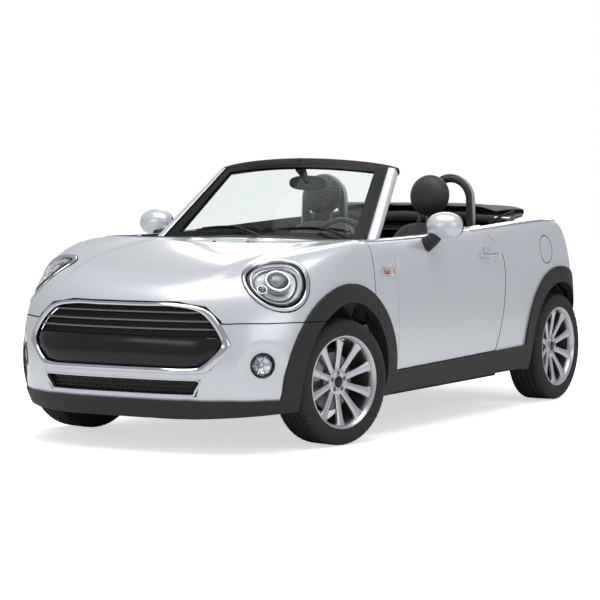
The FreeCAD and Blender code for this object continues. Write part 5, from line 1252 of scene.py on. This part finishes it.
def roof_folds():
    # The middle line of the folded sheet, to and fro in layers with round turns, from the bottom up.
    centre = []
    rise = (ROOF_HIGH - ROOF_LOW) / (ROOF_LAYERS - 1)
    for k in range(ROOF_LAYERS):
        z, last = ROOF_LOW + rise * k, k == ROOF_LAYERS - 1
        start, end = (ROOF_FRONT, ROOF_REAR) if k % 2 == 0 else (ROOF_REAR, ROOF_FRONT)
        for t in (j / 12 for j in range(13)):
            centre.append(Vector((start + (end - start) * t, 0,
                                  z - 0.010 * math.sin(math.pi * t) * (-0.6 if last else 1))))
        if not last:
            out = -0.016 if end == ROOF_REAR else 0.016
            for a in (math.pi * j / 6 for j in range(1, 6)):
                centre.append(Vector((end + out * math.sin(a), 0, z + rise * (1 - math.cos(a)) / 2)))
    return centre


def make_roof_fabric(centre, width, columns=72, thick=0.0045):
    # The sheet with its droop, its bow and its waves, as an upper and a lower face.
    rng = random.Random(7)
    waves = [(rng.uniform(3, 9), rng.uniform(0, math.tau), rng.uniform(0.0008, 0.0020)) for _ in range(7)]
    near, far = [], []
    for i, place in enumerate(centre):
        way = (centre[min(i + 1, len(centre) - 1)] - centre[max(i - 1, 0)]).normalized()
        out = Vector((-way.z, 0, way.x)) * thick / 2
        row = []
        for v in (2 * c / columns - 1 for c in range(columns + 1)):
            droop = -0.020 * max(0.0, abs(v) - 0.72) ** 1.5 / 0.15 * (place.z - ROOF_LOW + 0.02) / 0.13
            lift = sum(size * math.sin(rate * v * 3 + phase + i * 0.11) for rate, phase, size in waves)
            bow = 0.010 * (1 - v * v) * (place.z - ROOF_LOW) / (ROOF_HIGH - ROOF_LOW)
            row.append(Vector((place.x - 0.035 * v * v, v * width / 2, place.z + droop + lift + bow)))
        near += [p + out for p in row]
        far += [p - out for p in row]
    count, total = columns + 1, len(near)
    faces = []
    for a in (i * count + c for i in range(len(centre) - 1) for c in range(columns)):
        b, d, e = a + 1, a + count + 1, a + count
        faces += [(a, b, d, e), (total + e, total + d, total + b, total + a)]
    for a in (i * count + c for i in range(len(centre) - 1) for c in (0, columns)):
        faces.append((a, a + count, total + a + count, total + a))
    for a in (i * count + c for i in (0, len(centre) - 1) for c in range(columns)):
        faces.append((a, a + 1, total + a + 1, total + a))
    piece = Piece("folded_roof_fabric")
    piece.add((near + far, faces), "roof_fabric")
    return piece.done("shell", ["soft_top"])


def make_soft_top(settings):
    # The lowered roof: one sheet folded in layers, with its bows, rails and tray.
    centre, width = roof_folds(), 1.250
    fabric = make_roof_fabric(centre, width)
    bows = Piece("folded_roof_bows")
    bow_half = 0.63
    for x, z in ((ROOF_FRONT - 0.02, 0.998), (ROOF_REAR + 0.03, 0.998), (-1.11, 0.994)):
        bow = [(x - 0.030 * (y / bow_half) ** 2, y, z)
               for y in (-bow_half + 2 * bow_half * k / 24 for k in range(25))]
        bows.add(swept(bow, 0.009, 12), "grey_rail")
    for side in (1, -1):
        rail = ((-0.880, 0.600, 0.992), (-1.000, 0.628, 1.012), (-1.160, 0.640, 1.060),
                (-1.300, 0.628, 1.075))
        link = ((-0.900, 0.612, 1.035), (-1.020, 0.636, 1.075), (-1.180, 0.640, 1.100))
        for places, count, radius, sides, material in ((rail, 24, 0.011, 14, "grey_rail"),
                                                       (link, 16, 0.007, 12, "dark_cladding")):
            curve = smooth_curve([(x, side * y, z) for x, y, z in places], count)
            bows.add(swept(curve, radius, sides), material)
    bows.done("shell")
    tray = Piece("folded_roof_tray")
    front, depth, top, thick, rows = -1.270, 0.382, 0.985, 0.006, []
    for k in range(15):
        x = front - depth * k / 14
        edge = side_face(x, top, 1).y - 0.026
        z = top + 0.012 * k / 14
        row = [Vector((x, edge * v, z + 0.010 * (1 - v * v) - 0.030 * fade(abs(v), 0.90, 1.0) * (k < 13)))
               for v in (2 * c / 40 - 1 for c in range(41))]
        rows.append(row + [p - Vector((0, 0, thick)) for p in reversed(row)])
    tray.add(lofted(rows), "carpet")
    tray.done("shell")


def add_dashboard(piece):
    # The padded board from its section, raised over the dials and forward at the middle.
    section = ((0.555, 0.655), (0.558, 0.950), (0.520, 0.968), (0.470, 0.976), (0.410, 0.972), (0.368, 0.955),
               (0.345, 0.925), (0.338, 0.880), (0.352, 0.845), (0.350, 0.780), (0.362, 0.700), (0.385, 0.650))
    half, rings = 0.686, []
    for k in range(73):
        y = -half + 2 * half * k / 72
        hood = math.exp(-((y - SEAT_ACROSS) / 0.150) ** 4)
        middle = math.exp(-(y / 0.130) ** 4)
        ring = []
        for i, (x, z) in enumerate(section):
            if 2 <= i <= 6:
                z += 0.022 * hood
            if 5 <= i <= 10:
                x -= 0.018 * middle * (0.5 if i < 7 else 1.0) - 0.010 * hood
            ring.append(Vector((x - (0.010 if abs(y) > 0.67 and 4 < i < 9 else 0.0), y, z)))
        rings.append(ring)
    piece.add(lofted(rings), "cabin_plastic")


def add_controls(piece):
    # Air vents, the round middle screen, toggle switches and the dials, facing the rear.
    face = Matrix.Rotation(math.radians(-90), 4, "Y")
    for y, z, r in ((0.600, 0.880, 0.040), (-0.600, 0.880, 0.040), (0.120, 0.905, 0.032),
                    (-0.120, 0.905, 0.032)):
        spot = Matrix.Translation((0.332 if abs(y) > 0.3 else 0.320, y, z)) @ face
        vent = ((r, -0.02), (r, 0.004), (r * 0.92, 0.008), (r * 0.84, 0.004), (r * 0.80, -0.012), (0, -0.012))
        piece.add(bowl(vent, 36), "satin_silver", spot)
        for bar in (-0.4, 0.0, 0.4):
            half = r * 0.78 * math.sqrt(1 - bar * bar)
            piece.join(eased_box((-half, r * bar - 0.0018, -0.010), (half, r * bar + 0.0018, 0.002), 0.0012),
                       "gloss_black", spot @ Matrix.Rotation(math.radians(90), 4, "Z"))
    spot = Matrix.Translation((0.316, 0, 0.800)) @ face
    rim = ((0.105, -0.03), (0.105, 0.004), (0.100, 0.009), (0.093, 0.006), (0.092, 0.0))
    piece.add(bowl(rim, 64), "satin_silver", spot)
    piece.add(bowl(((0.0925, -0.002), (0.070, 0.001), (0.0, 0.002)), 64), "gloss_black", spot)
    switch = ((0.007, -0.02), (0.007, 0.018), (0.0055, 0.022), (0.0, 0.023))
    for y in (-0.09, -0.045, 0.0, 0.045, 0.09):
        piece.add(bowl(switch, 16, 1.6, 0.8), "satin_silver", Matrix.Translation((0.318, y, 0.675)) @ face)
    for y, r in ((SEAT_ACROSS, 0.055), (0.440, 0.030)):
        spot = Matrix.Translation((0.352, y, 0.925)) @ face @ Matrix.Rotation(0.25, 4, "Y")
        dial = ((r, -0.03), (r, 0.010), (r * 0.93, 0.013), (r * 0.88, 0.008), (r * 0.87, 0.002))
        piece.add(bowl(dial, 48), "satin_silver", spot)
        piece.add(bowl(((r * 0.875, 0.001), (0, 0.001)), 48), "gloss_black", spot)


def make_steering_wheel(spot):
    piece = Piece("steering_wheel_rim")
    radius, rings = 0.180, []
    for a in turns(72):
        grip = 0.0145 + 0.0022 * max(0.0, math.cos(2 * (a - math.radians(25)))) ** 8
        section = [(radius + grip * math.cos(t), grip * math.sin(t)) for t in turns(14)]
        rings.append([(r * math.cos(a), r * math.sin(a), z) for r, z in section])
    piece.add(lofted(rings + rings[:1], caps=False), "black_leather", spot)
    corners = ((1, -1), (1, 1), (-1, 1), (-1, -1))
    for angle, wide in ((0, 0.020), (180, 0.020), (90, 0.026)):
        place = spot @ Matrix.Rotation(math.radians(angle), 4, "Z")
        arm = ((0.040, wide, -0.008), (0.090, wide * 0.75, -0.006), (0.140, wide * 0.6, 0.0),
               (0.176, wide * 0.7, 0.0))
        inlay = ((0.050, wide * 0.6, -0.0155), (0.120, wide * 0.42, -0.0095))
        for rows, half, material in ((arm, 0.006, "satin_silver"), (inlay, 0.002, "gloss_black")):
            rings = [[(x, w * c, z + half * s) for c, s in corners] for x, w, z in rows]
            piece.add(lofted(rings), material, place)
    piece.join(eased_pad((0.062, 0.054, 0.020), 3.5, 14), "black_leather", spot)
    piece.done("hand_wheel", ["steering_wheel"])


def make_cabin(settings):
    board = Piece("dashboard_detail")
    add_dashboard(board)
    add_controls(board)
    board.done("shell", ["dashboard"])
    lean = math.radians(24)
    axis, left = Vector((math.cos(lean), 0, -math.sin(lean))), Vector((0, 1, 0))
    turn = Matrix((left, axis.cross(left), axis)).transposed().to_4x4()
    centre = Vector((0.262, SEAT_ACROSS, 0.915))
    make_steering_wheel(Matrix.Translation(centre) @ turn)
    column = Piece("column_shroud")
    column.join(eased_pad((0.040, 0.036, 0.085), 4.0, 10), "cabin_plastic",
                Matrix.Translation(centre + axis * 0.130) @ turn)
    root = centre + axis * 0.062
    for side in (1, -1):
        stalk = [root + Vector(way) for way in ((0, side * 0.02, 0), (-0.006, side * 0.10, 0.010),
                                                (-0.008, side * 0.135, 0.014))]
        column.add(swept(stalk, 0.0065, 12), "cabin_plastic")
    column.done("shell")


def fade(value, low, high):
    # From 0 at low to 1 at high, eased at both ends.
    t = min(max((value - low) / (high - low), 0.0), 1.0)
    return t * t * (3 - 2 * t)


def relief_of(rise):
    # How far the skin is lifted at a place, with the slope that its normal follows.
    def relief(spot):
        step, here = 0.004, rise(spot)
        ways = [Vector(way) for way in ((1, 0, 0), (0, 1, 0), (0, 0, 1))]
        return here, Vector([(rise(spot + way * step) - here) / step for way in ways])
    return relief


def bonnet_rise(spot):
    edge = 0.425 + 0.06 * (1.75 - spot.x)
    dome = 0.007 * (1 - fade(abs(spot.y), edge - 0.035, edge + 0.035))
    dome -= 0.003 * fade(abs(spot.y), edge, edge + 0.04) * (1 - fade(abs(spot.y), edge + 0.06, edge + 0.16))
    return dome * fade(spot.x, 0.78, 0.95) * (1 - fade(spot.x, 1.62, 1.76)) * fade(spot.z, 0.70, 0.80)


def scoop_rise(depth):
    def rise(spot):
        total = 0.0
        for side in (1, -1):
            place, _ = nose_spot(FOG_SPOT, side)
            way = spot - place
            far = 0.125 + 0.045 * (1 - fade(way.z, -0.10, 0.06))
            total -= depth * (1 - fade(way.length, 0.066, far))
        return total
    return rise


def handle_rise(spot):
    # The scoop in the door skin behind the pull handle.
    way = Vector((spot.x + 0.425, 0, spot.z - 0.872))
    return -0.022 * (1 - fade(math.hypot(way.x / 1.15, way.z), 0.026, 0.064)) * fade(spot.z, 0.78, 0.80)


def make_grille_ring(settings):
    shares = [(0, 1.0), (0.26, 1.0), *GRILLE_SHARES, (0.37, 0.0), (0, 0.0)]
    loops = []
    for half, low, high in (GRILLE_OUTER, GRILLE_INNER):
        corners = [Vector((half * a, low + (high - low) * b, 0)) for a, b in shares]
        corners += [Vector((-p.x, p.y, 0)) for p in reversed(corners[1:-1])]
        loops.append(smooth_curve(corners, 200, True))
    section = ((-0.02, -0.020), (-0.01, 0.0005), (0.06, 0.0060), (0.16, 0.0080), (0.52, 0.0090),
               (0.60, 0.0075), (0.88, 0.0020), (1.0, -0.0030), (1.02, -0.030))
    rows = [[nose_face(*a.lerp(b, share).xy, -lift) for a, b in zip(*loops)] for share, lift in section]
    piece = Piece("grille_surround_ring")
    piece.add(lofted(rows, caps=False), "chrome")
    piece.done("shell", ["grille_surround"], angle=24)


def make_lamp_rings(settings):
    piece = Piece("headlamp_trim_rings")
    for side in (1, -1):
        add_layers(piece, *nose_spot(LAMP_SPOT, side), LAMP_RING_LAYERS)
    piece.done("bonnet_leaf", ["headlamp_rings"])


def skin_outline(corners, round_by, steps=6):
    # A closed outline with rounded corners from (along, height) corners.
    out = []
    count = len(corners)
    for k in range(count):
        a, b, c = (Vector(corners[(k + n) % count]) for n in (-1, 0, 1))
        start, end = b + (a - b).normalized() * round_by, b + (c - b).normalized() * round_by
        for j in range(steps + 1):
            t = j / steps
            out.append(start * (1 - t) ** 2 + b * 2 * t * (1 - t) + end * t * t)
    return out


def side_face(x, z, side, lift=0.0):
    hit = SKIN.tree.ray_cast(Vector((x, side * 2, z)), Vector((0, -side, 0)))[0]
    return hit + SKIN.nearest(hit)[1] * lift


def tail_face(y, z, lift=0.0):
    hit = SKIN.tree.ray_cast(Vector((-3, y, z)), Vector((1, 0, 0)))[0]
    return hit + SKIN.nearest(hit)[1] * lift


def add_raised(piece, outline, face, *layers):
    # Layers over an outline on the skin: the finish, then rings as (share of its size, lift).
    middle = sum(outline, Vector((0, 0))) / len(outline)
    for material, stages in layers:
        rows = [[face(*(middle + (p - middle) * share), lift) for p in outline] for share, lift in stages]
        piece.add(lofted(rows, caps=False), material)


def box_outline(low, high, round_by, side=1, steps=6):
    # A rounded rectangle between two corners, on one side of the car.
    corners = (low, (high[0], low[1]), high, (low[0], high[1]))
    return [Vector((side * p.x, p.y)) for p in skin_outline(corners, round_by, steps)]


def make_side_details(settings):
    indicators = Piece("side_indicators")
    for side in (1, -1):
        def face(x, z, lift):
            return side_face(x, z, side, lift)

        outline = skin_outline(((0.672, 0.807), (0.812, 0.811), (0.822, 0.857), (0.664, 0.851)), 0.018)
        add_raised(indicators, outline, face,
                   ("chrome", ((1.0, -0.004), (1.0, 0.001), (0.975, 0.0045), (0.90, 0.0055), (0.82, 0.0035),
                               (0.79, -0.001))),
                   ("gloss_black", ((0.80, -0.0005), (0.30, 0.0002), (0.01, 0.0002))))
        lens = skin_outline(((0.716, 0.824), (0.774, 0.8265), (0.778, 0.842), (0.713, 0.839)), 0.006)
        add_raised(indicators, lens, face,
                   ("amber_lens", ((1.0, -0.001), (1.0, 0.003), (0.94, 0.005), (0.5, 0.0065), (0.01, 0.007))))
    indicators.done("shell")
    front, rear, height = -0.318, -0.532, 0.8765
    for side, name in ((1, "left"), (-1, "right")):
        handle = Piece("door_handle_" + name)
        rings = []
        for t in (k / 24 for k in range(25)):
            lift = 0.0265 * min(1.0, 4.0 * t, 4.0 * (1 - t)) ** 0.55 if 0 < t < 1 else 0.002
            place = side_face(front + (rear - front) * t, height, side, lift)
            tall = 0.0130 * (0.55 + 0.45 * math.sin(math.pi * min(max(t, 0.08), 0.92)))
            rings.append([place + Vector((0, side * 0.0060 * math.sin(a), tall * math.cos(a)))
                          for a in turns(16)])
        handle.add(lofted(rings), "chrome")
        for x in (front - 0.022, rear + 0.022):
            foot = [side_face(x, height, side, lift) for lift in (-0.008, 0.016)]
            handle.add(swept(foot, 0.0085, 16), "chrome")
        handle.done(name + "_door", ["door_brightwork_" + name])


def make_tail_lamps():
    lamps = Piece("tail_lamp_units")
    for side in (1, -1):
        outline = box_outline((0.562, 0.662), (0.698, 0.898), 0.042, side, 8)
        add_raised(lamps, outline, tail_face,
                   ("chrome", ((1.0, -0.020), (1.0, 0.002), (0.985, 0.006), (0.93, 0.0075), (0.875, 0.006),
                               (0.86, 0.001))),
                   ("red_lens", ((0.865, -0.004), (0.865, 0.004), (0.83, 0.0075), (0.60, 0.0095),
                                 (0.30, 0.0105), (0.01, 0.011))))
        for z_low, z_high, material in ((0.762, 0.794, "amber_lens"), (0.722, 0.750, "satin_silver")):
            bar = box_outline((0.590, z_low), (0.670, z_high), 0.010, side)
            add_raised(lamps, bar, tail_face, (material, ((1.0, 0.004), (1.0, 0.0118), (0.9, 0.0128),
                                                          (0.01, 0.0130))))
    lamps.done("shell", ["tail_lamps"])


def make_boot_pull():
    pull = Piece("boot_pull")
    height, half, foot_across = 0.863, 0.155, 0.148
    rings = []
    for t in (k / 32 for k in range(33)):
        lift = 0.016 * min(1.0, 6.0 * t, 6.0 * (1 - t)) ** 0.6 if 0 < t < 1 else 0.001
        place = tail_face(-half + 2 * half * t, height, lift)
        rings.append([place + Vector((0.006 * math.sin(a), 0, 0.0115 * math.cos(a)))
                      for a in turns(16)])
    pull.add(lofted(rings), "chrome")
    for y in (-foot_across, foot_across):
        pull.add(swept([tail_face(y, height, lift) for lift in (-0.010, 0.012)], 0.009, 14), "chrome")
    pull.done("boot_leaf", ["boot_handle"])


def make_tail(settings):
    make_tail_lamps()
    make_boot_pull()
    plate = Piece("rear_plate_panel")
    add_raised(plate, box_outline((-0.265, 0.690), (0.265, 0.812), 0.014), tail_face,
               ("dark_cladding", ((1.0, -0.003), (1.0, 0.0035), (0.985, 0.0055), (0.955, 0.0055),
                                  (0.945, 0.0030))),
               ("satin_silver", ((0.946, 0.0032), (0.5, 0.0034), (0.01, 0.0034))))
    plate.done("boot_leaf")
    tips = Piece("exhaust_tips")
    tip = ((0.026, -0.10), (0.0275, -0.02), (0.0300, 0.030), (0.0305, 0.046), (0.0290, 0.0485),
           (0.0270, 0.046), (0.0255, 0.030), (0.0250, -0.06), (0.0, -0.065))
    for side in (1, -1):
        spot = Matrix.Translation((-1.850, side * 0.060, 0.182)) @ Matrix.Rotation(math.radians(-90), 4, "Y")
        tips.add(bowl(tip, 40), "chrome", spot)
    tips.done("shell")
    reflectors = Piece("rear_reflectors")
    for side in (1, -1):
        add_raised(reflectors, box_outline((0.440, 0.402), (0.600, 0.432), 0.010, side), tail_face,
                   ("red_lens", ((1.0, -0.003), (1.0, 0.003), (0.95, 0.005), (0.5, 0.006), (0.01, 0.006))))
    reflectors.done("shell")


def make_door_trims(settings):
    # Armrests, pulls and speaker rings on the inner faces of the doors.
    boxes = ((-0.480, 0.300, 0.034, 0.660, 0.705, 0.012, "black_leather"),
             (-0.520, 0.420, 0.008, 0.700, 0.960, 0.004, "black_leather"),
             (-0.420, 0.380, 0.026, 0.385, 0.470, 0.012, "cabin_plastic"))
    grip = ((0.18, 0.014, 0.760), (0.16, 0.034, 0.775), (0.04, 0.038, 0.790), (-0.02, 0.014, 0.795))
    speaker = ((0.085, -0.004), (0.085, 0.006), (0.080, 0.010), (0.074, 0.007), (0.0, 0.0055))
    for side, name in ((1, "left"), (-1, "right")):
        piece = Piece("door_lining_" + name)
        inner = side * 0.7205
        for x0, x1, deep, z0, z1, ease, material in boxes:
            y0, y1 = sorted((inner, inner - side * deep))
            piece.join(eased_box((x0, y0, z0), (x1, y1, z1), ease, 3), material)
        curve = smooth_curve([(x, inner - side * deep, z) for x, deep, z in grip], 20)
        piece.add(swept(curve, 0.010, 12), "satin_silver")
        spin = Matrix.Translation((0.330, inner, 0.560)) @ Matrix.Rotation(math.radians(90 * side), 4, "X")
        piece.add(bowl(speaker, 48), "cabin_plastic", spin)
        piece.done(name + "_door")


def make_rear_cladding(settings):
    # The rear wheel arches' cladding behind the wheels, down to the bumper's foot.
    (middle, outer), (_, inner) = ARCHES[2:]
    start_reach, foot, lift, depth, rows, columns = 0.190, 0.232, 0.0114, 0.030, 30, 6
    radii = [inner + (outer - inner) * k / columns for k in range(columns + 1)]
    piece = Piece("rear_arch_cladding")
    for side in (1, -1):
        rings = []
        for row in range(rows + 1):
            face, back = [], []
            for r in radii:
                start, end = math.asin(start_reach / r), math.acos((foot - ARCH_HEIGHT) / r)
                turn = start + (end - start) * row / rows
                x, z = middle - r * math.sin(turn), ARCH_HEIGHT + r * math.cos(turn)
                place, normal = skin_ray(x, side * 2.0, z, (0, -side, 0))
                face.append(Vector((x, (place + normal * lift).y, z)))
                back.append(Vector((x, (place - normal * depth).y, z)))
            rings.append(face + back[::-1])
        piece.add(lofted(rings), "dark_cladding")
    piece.done("shell")


# Stage: floor, backdrop, soft light and the camera at the photograph's angle
def make_sky(level):
    # White for the camera and through glass, an even dim light for everything else.
    world = bpy.data.worlds.new("studio")
    bpy.context.scene.world = world
    world.use_nodes = True
    world.node_tree.nodes.clear()
    graph = Graph(world.node_tree)
    path = graph.node("ShaderNodeLightPath").outputs
    seen = graph.sum("MAXIMUM", path["Is Camera Ray"], path["Is Transmission Ray"])
    dim = graph.node("ShaderNodeBackground", {"Color": (0.93, 0.95, 1.0, 1), "Strength": level}).outputs[0]
    bright = graph.node("ShaderNodeBackground", {"Color": (1, 1, 1, 1)}).outputs[0]
    mix = graph.node("ShaderNodeMixShader", {0: seen, 1: dim, 2: bright}).outputs[0]
    graph.node("ShaderNodeOutputWorld", {"Surface": mix})


def make_floor(glow_level, reach=30.0):
    mesh = bpy.data.meshes.new("floor")
    corners = [(-reach, -reach, 0), (reach, -reach, 0), (reach, reach, 0), (-reach, reach, 0)]
    mesh.from_pydata(corners, [], [(0, 1, 2, 3)])
    floor = mesh_object("floor", mesh)
    material = bpy.data.materials.new("pale_floor")
    material.use_nodes = True
    graph = Graph(material.node_tree)
    shader, out = graph.nodes["Principled BSDF"], graph.nodes["Material Output"]
    graph.feed(shader, {"Base Color": (0.86, 0.86, 0.86, 1), "Roughness": 0.6})
    glow = graph.node("ShaderNodeEmission", {"Strength": glow_level}).outputs[0]
    path = graph.node("ShaderNodeLightPath").outputs
    off = graph.node("ShaderNodeEmission", {"Strength": 0.0}).outputs[0]
    keep = graph.node("ShaderNodeMixShader", {0: path["Is Camera Ray"], 1: off, 2: glow}).outputs[0]
    both = graph.node("ShaderNodeAddShader", {0: shader.outputs[0], 1: keep}).outputs[0]
    graph.feed(out, {"Surface": both})
    mesh.materials.append(material)
    floor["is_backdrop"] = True


def make_stage(settings):
    scene = bpy.context.scene
    scene.view_settings.view_transform = "Standard"
    make_sky(settings.sky_level)
    make_floor(settings.floor_glow)
    lamps = (("over", (1.5, 0.5, 6.5), (0, 0, 0.5), (7.0, 5.0), settings.top_light),
             ("left", (4.0, 8.5, 3.6), (0, 0.5, 0.6), (7.0, 3.0), settings.side_light),
             ("front", (9.5, -2.5, 3.4), (0.8, 0, 0.6), (5.0, 2.6), settings.front_light),
             ("back", (-8.0, -3.0, 4.2), (0, 0, 0.6), (6.0, 3.0), settings.back_light))
    for name, place, aim, extent, power in lamps:
        lamp = bpy.data.lights.new(name, "AREA")
        lamp.shape, lamp.energy = "RECTANGLE", power
        lamp.size, lamp.size_y = extent
        thing = bpy.data.objects.new(name, lamp)
        thing.location = place
        thing.rotation_euler = (Vector(aim) - Vector(place)).to_track_quat("-Z", "Y").to_euler()
        scene.collection.objects.link(thing)
    camera = bpy.data.cameras.new("camera")
    camera.sensor_width, camera.lens, camera.clip_end = 36.0, 135.19, 100.0
    view = bpy.data.objects.new("camera", camera)
    place = (10.714, 6.225, 1.364)
    yaw, pitch, roll = math.radians(210.58), math.radians(-3.40), math.radians(-0.13)
    way = Vector((math.cos(pitch) * math.cos(yaw), math.cos(pitch) * math.sin(yaw), math.sin(pitch)))
    turn = way.to_track_quat("-Z", "Y").to_matrix().to_4x4()
    view.matrix_world = Matrix.Translation(place) @ turn @ Matrix.Rotation(roll, 4, "Z")
    scene.collection.objects.link(view)
    scene.camera = view


class CarSettings(bpy.types.PropertyGroup):
    paint: FloatVectorProperty(
        name="Paint", description="Colour of the painted panels", subtype="COLOR",
        default=(0.64, 0.655, 0.68), min=0, max=1)
    spokes: IntProperty(name="Spokes", description="Spokes on each wheel", default=10, min=3, max=20)
    tread_depth: FloatProperty(
        name="Tread depth", description="Depth of the grooves in the tyres", default=0.007, unit="LENGTH")
    scoop_depth: FloatProperty(
        name="Scoop depth", description="Depth of the scoop round each fog lamp", default=0.012,
        unit="LENGTH")
    sky_level: FloatProperty(
        name="Sky level", description="Strength of the even light from all round", default=0.50)
    floor_glow: FloatProperty(
        name="Floor glow", description="Light added to the floor for the camera", default=0.60)
    top_light: FloatProperty(name="Top light", description="Power of the lamp overhead", default=350.0)
    side_light: FloatProperty(name="Side light", description="Power of the lamp at the left", default=92.0)
    front_light: FloatProperty(name="Front light", description="Power of the lamp ahead", default=75.0)
    back_light: FloatProperty(name="Back light", description="Power of the lamp behind", default=110.0)


def add_step(name, words, work):
    # An operator that makes one group of pieces.
    def execute(self, context):
        work(context.scene.open_car)
        return {"FINISHED"}

    STEPS.append(type("OPENCAR_OT_" + name, (bpy.types.Operator,), {
        "bl_idname": "opencar." + name, "bl_label": name.replace("_", " ").capitalize(),
        "bl_description": words, "__doc__": words, "bl_options": {"REGISTER", "UNDO"}, "execute": execute}))


# The panels in the skin's own surface: the node, its body, and the finish of its inner faces
PANELS = (("bonnet", "bonnet_leaf", "underbody"), ("front_bumper", "shell", "underbody"),
          ("front_lip", "shell", "underbody"), ("bonnet_arch_trims", "bonnet_leaf", "dark_cladding"),
          ("arch_trims", "shell", "dark_cladding"), ("sills", "shell", "underbody"),
          ("door_left", "left_door", "cabin_plastic"), ("door_right", "right_door", "cabin_plastic"),
          ("side_scuttles", "shell", "underbody"), ("quarter_left", "shell", "cabin_plastic"),
          ("quarter_right", "shell", "cabin_plastic"), ("fuel_flap", "flap_leaf", "underbody"),
          ("boot_lid", "boot_leaf", "cabin_plastic"), ("rear_deck", "shell", "underbody"),
          ("rear_bumper", "shell", "underbody"))
# The dark ones among them, and each kind's slot, finish and stand off the skin
DARK_PANELS = ("front_lip", "bonnet_arch_trims", "arch_trims", "sills")
PAINTED, DARK = ("body_paint", "silver_paint", 0.0), ("dark_plastic", "dark_cladding", 0.012)
STRIP_STAND, BUMPER_FOOT, STRIP_FOOT = 0.006, 0.34, 0.95


def make_panels(settings):
    shapes = {"bonnet": relief_of(bonnet_rise), "front_bumper": relief_of(scoop_rise(settings.scoop_depth)),
              "door_left": relief_of(handle_rise), "door_right": relief_of(handle_rise)}
    for node, body, inner in PANELS:
        slot, outer, stand = DARK if node in DARK_PANELS else PAINTED
        skin_panel(node, node + "_panel", body, outer, inner, stand, relief=shapes.get(node),
                   fine=SHAPED_FACE if node in shapes else PLAIN_FACE,
                   lower=(BUMPER_FOOT, "dark_cladding") if node == "rear_bumper" else None)
    skin_panel("cowl", "cowl_panel", "shell", "dark_cladding", "underbody")
    skin_panel("belt_strips", "belt_strips_panel", "shell", "chrome", "chrome", STRIP_STAND)
    for side in ("left", "right"):
        skin_panel("door_brightwork_" + side, "door_strip_" + side, side + "_door", "chrome",
                   "chrome", STRIP_STAND, above=STRIP_FOOT)


# The finish of each node that no piece replaces
PLAIN = {"bulkhead": "underbody", "floor_pan": "carpet", "wheelhouses": "underbody", "engine": "cast_metal",
         "radiator": "cast_metal", "fuel_tank": "underbody", "front_subframe": "underbody",
         "rear_axle": "underbody", "knuckle_left": "cast_metal", "knuckle_right": "cast_metal",
         "exhaust": "disc_steel", "steering_column": "cabin_plastic", "windscreen": "screen_glass"}


def dress_plain(settings):
    for node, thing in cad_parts.items():
        material = MATERIALS[PLAIN.get(node, "cabin_plastic")]
        for place in thing.material_slots:
            place.material = material
        if not thing.material_slots:
            thing.data.materials.append(material)


for row in (
        ("finishes", "Make the procedural finishes", make_finishes),
        ("plain_nodes", "Give the running gear and the floor their finishes", dress_plain),
        ("panels", "Draw the body panels onto the smooth skin", make_panels),
        ("wheels", "Make the alloys, the discs and the grooved tyres", make_wheels),
        ("calipers", "Make the brake callipers and the dust shields", make_calipers),
        ("headlamps", "Make the headlamps with their projectors and lenses", make_headlamps),
        ("fog_lamps", "Make the round fog lamps", make_fog_lamps),
        ("grilles", "Make the slats, the dark mesh and the lower intake", make_grilles),
        ("windscreen", "Make the screen's frame and its glass", make_screen),
        ("wipers", "Make the wiper arms and the washer jets", make_wipers),
        ("mirrors", "Make the door mirrors and the inside mirror", make_mirrors),
        ("front_seats", "Make the front seats with their round headrests", make_seats),
        ("rear_bench", "Make the padded rear bench", make_rear_bench),
        ("roll_hoops", "Make the padded roll hoops", make_roll_hoops),
        ("soft_top", "Make the folded soft top with its bows and rails", make_soft_top),
        ("cabin", "Make the dashboard, the dials and the steering wheel", make_cabin),
        ("grille_ring", "Make the bright ring round the grille", make_grille_ring),
        ("lamp_rings", "Make the bright rings round the headlamps", make_lamp_rings),
        ("side_details", "Make the side indicators and the door handles", make_side_details),
        ("tail", "Make the tail lamps, the boot pull, the blank plate and the exhaust tips", make_tail),
        ("door_linings", "Make the linings of the doors", make_door_trims),
        ("rear_cladding", "Make the arch cladding behind the rear wheels", make_rear_cladding),
        ("stage", "Make the floor, the lamps and the camera", make_stage)):
    add_step(*row)


class OPENCAR_PT_panel(bpy.types.Panel):
    bl_label = "Open Car"
    bl_idname = "OPENCAR_PT_panel"
    bl_space_type = "VIEW_3D"
    bl_region_type = "UI"
    bl_category = "Open Car"

    def draw(self, context):
        for name in CarSettings.__annotations__:
            self.layout.prop(context.scene.open_car, name)
        for kind in STEPS:
            self.layout.operator(kind.bl_idname)


def register():
    for kind in [CarSettings] + STEPS + [OPENCAR_PT_panel]:
        bpy.utils.register_class(kind)
    bpy.types.Scene.open_car = PointerProperty(type=CarSettings)


def unregister():
    del bpy.types.Scene.open_car
    for kind in reversed([CarSettings] + STEPS + [OPENCAR_PT_panel]):
        bpy.utils.unregister_class(kind)


def main():
    register()
    for kind in STEPS:
        group, name = kind.bl_idname.split(".")
        getattr(getattr(bpy.ops, group), name)()


if __name__ == "__main__":
    main()
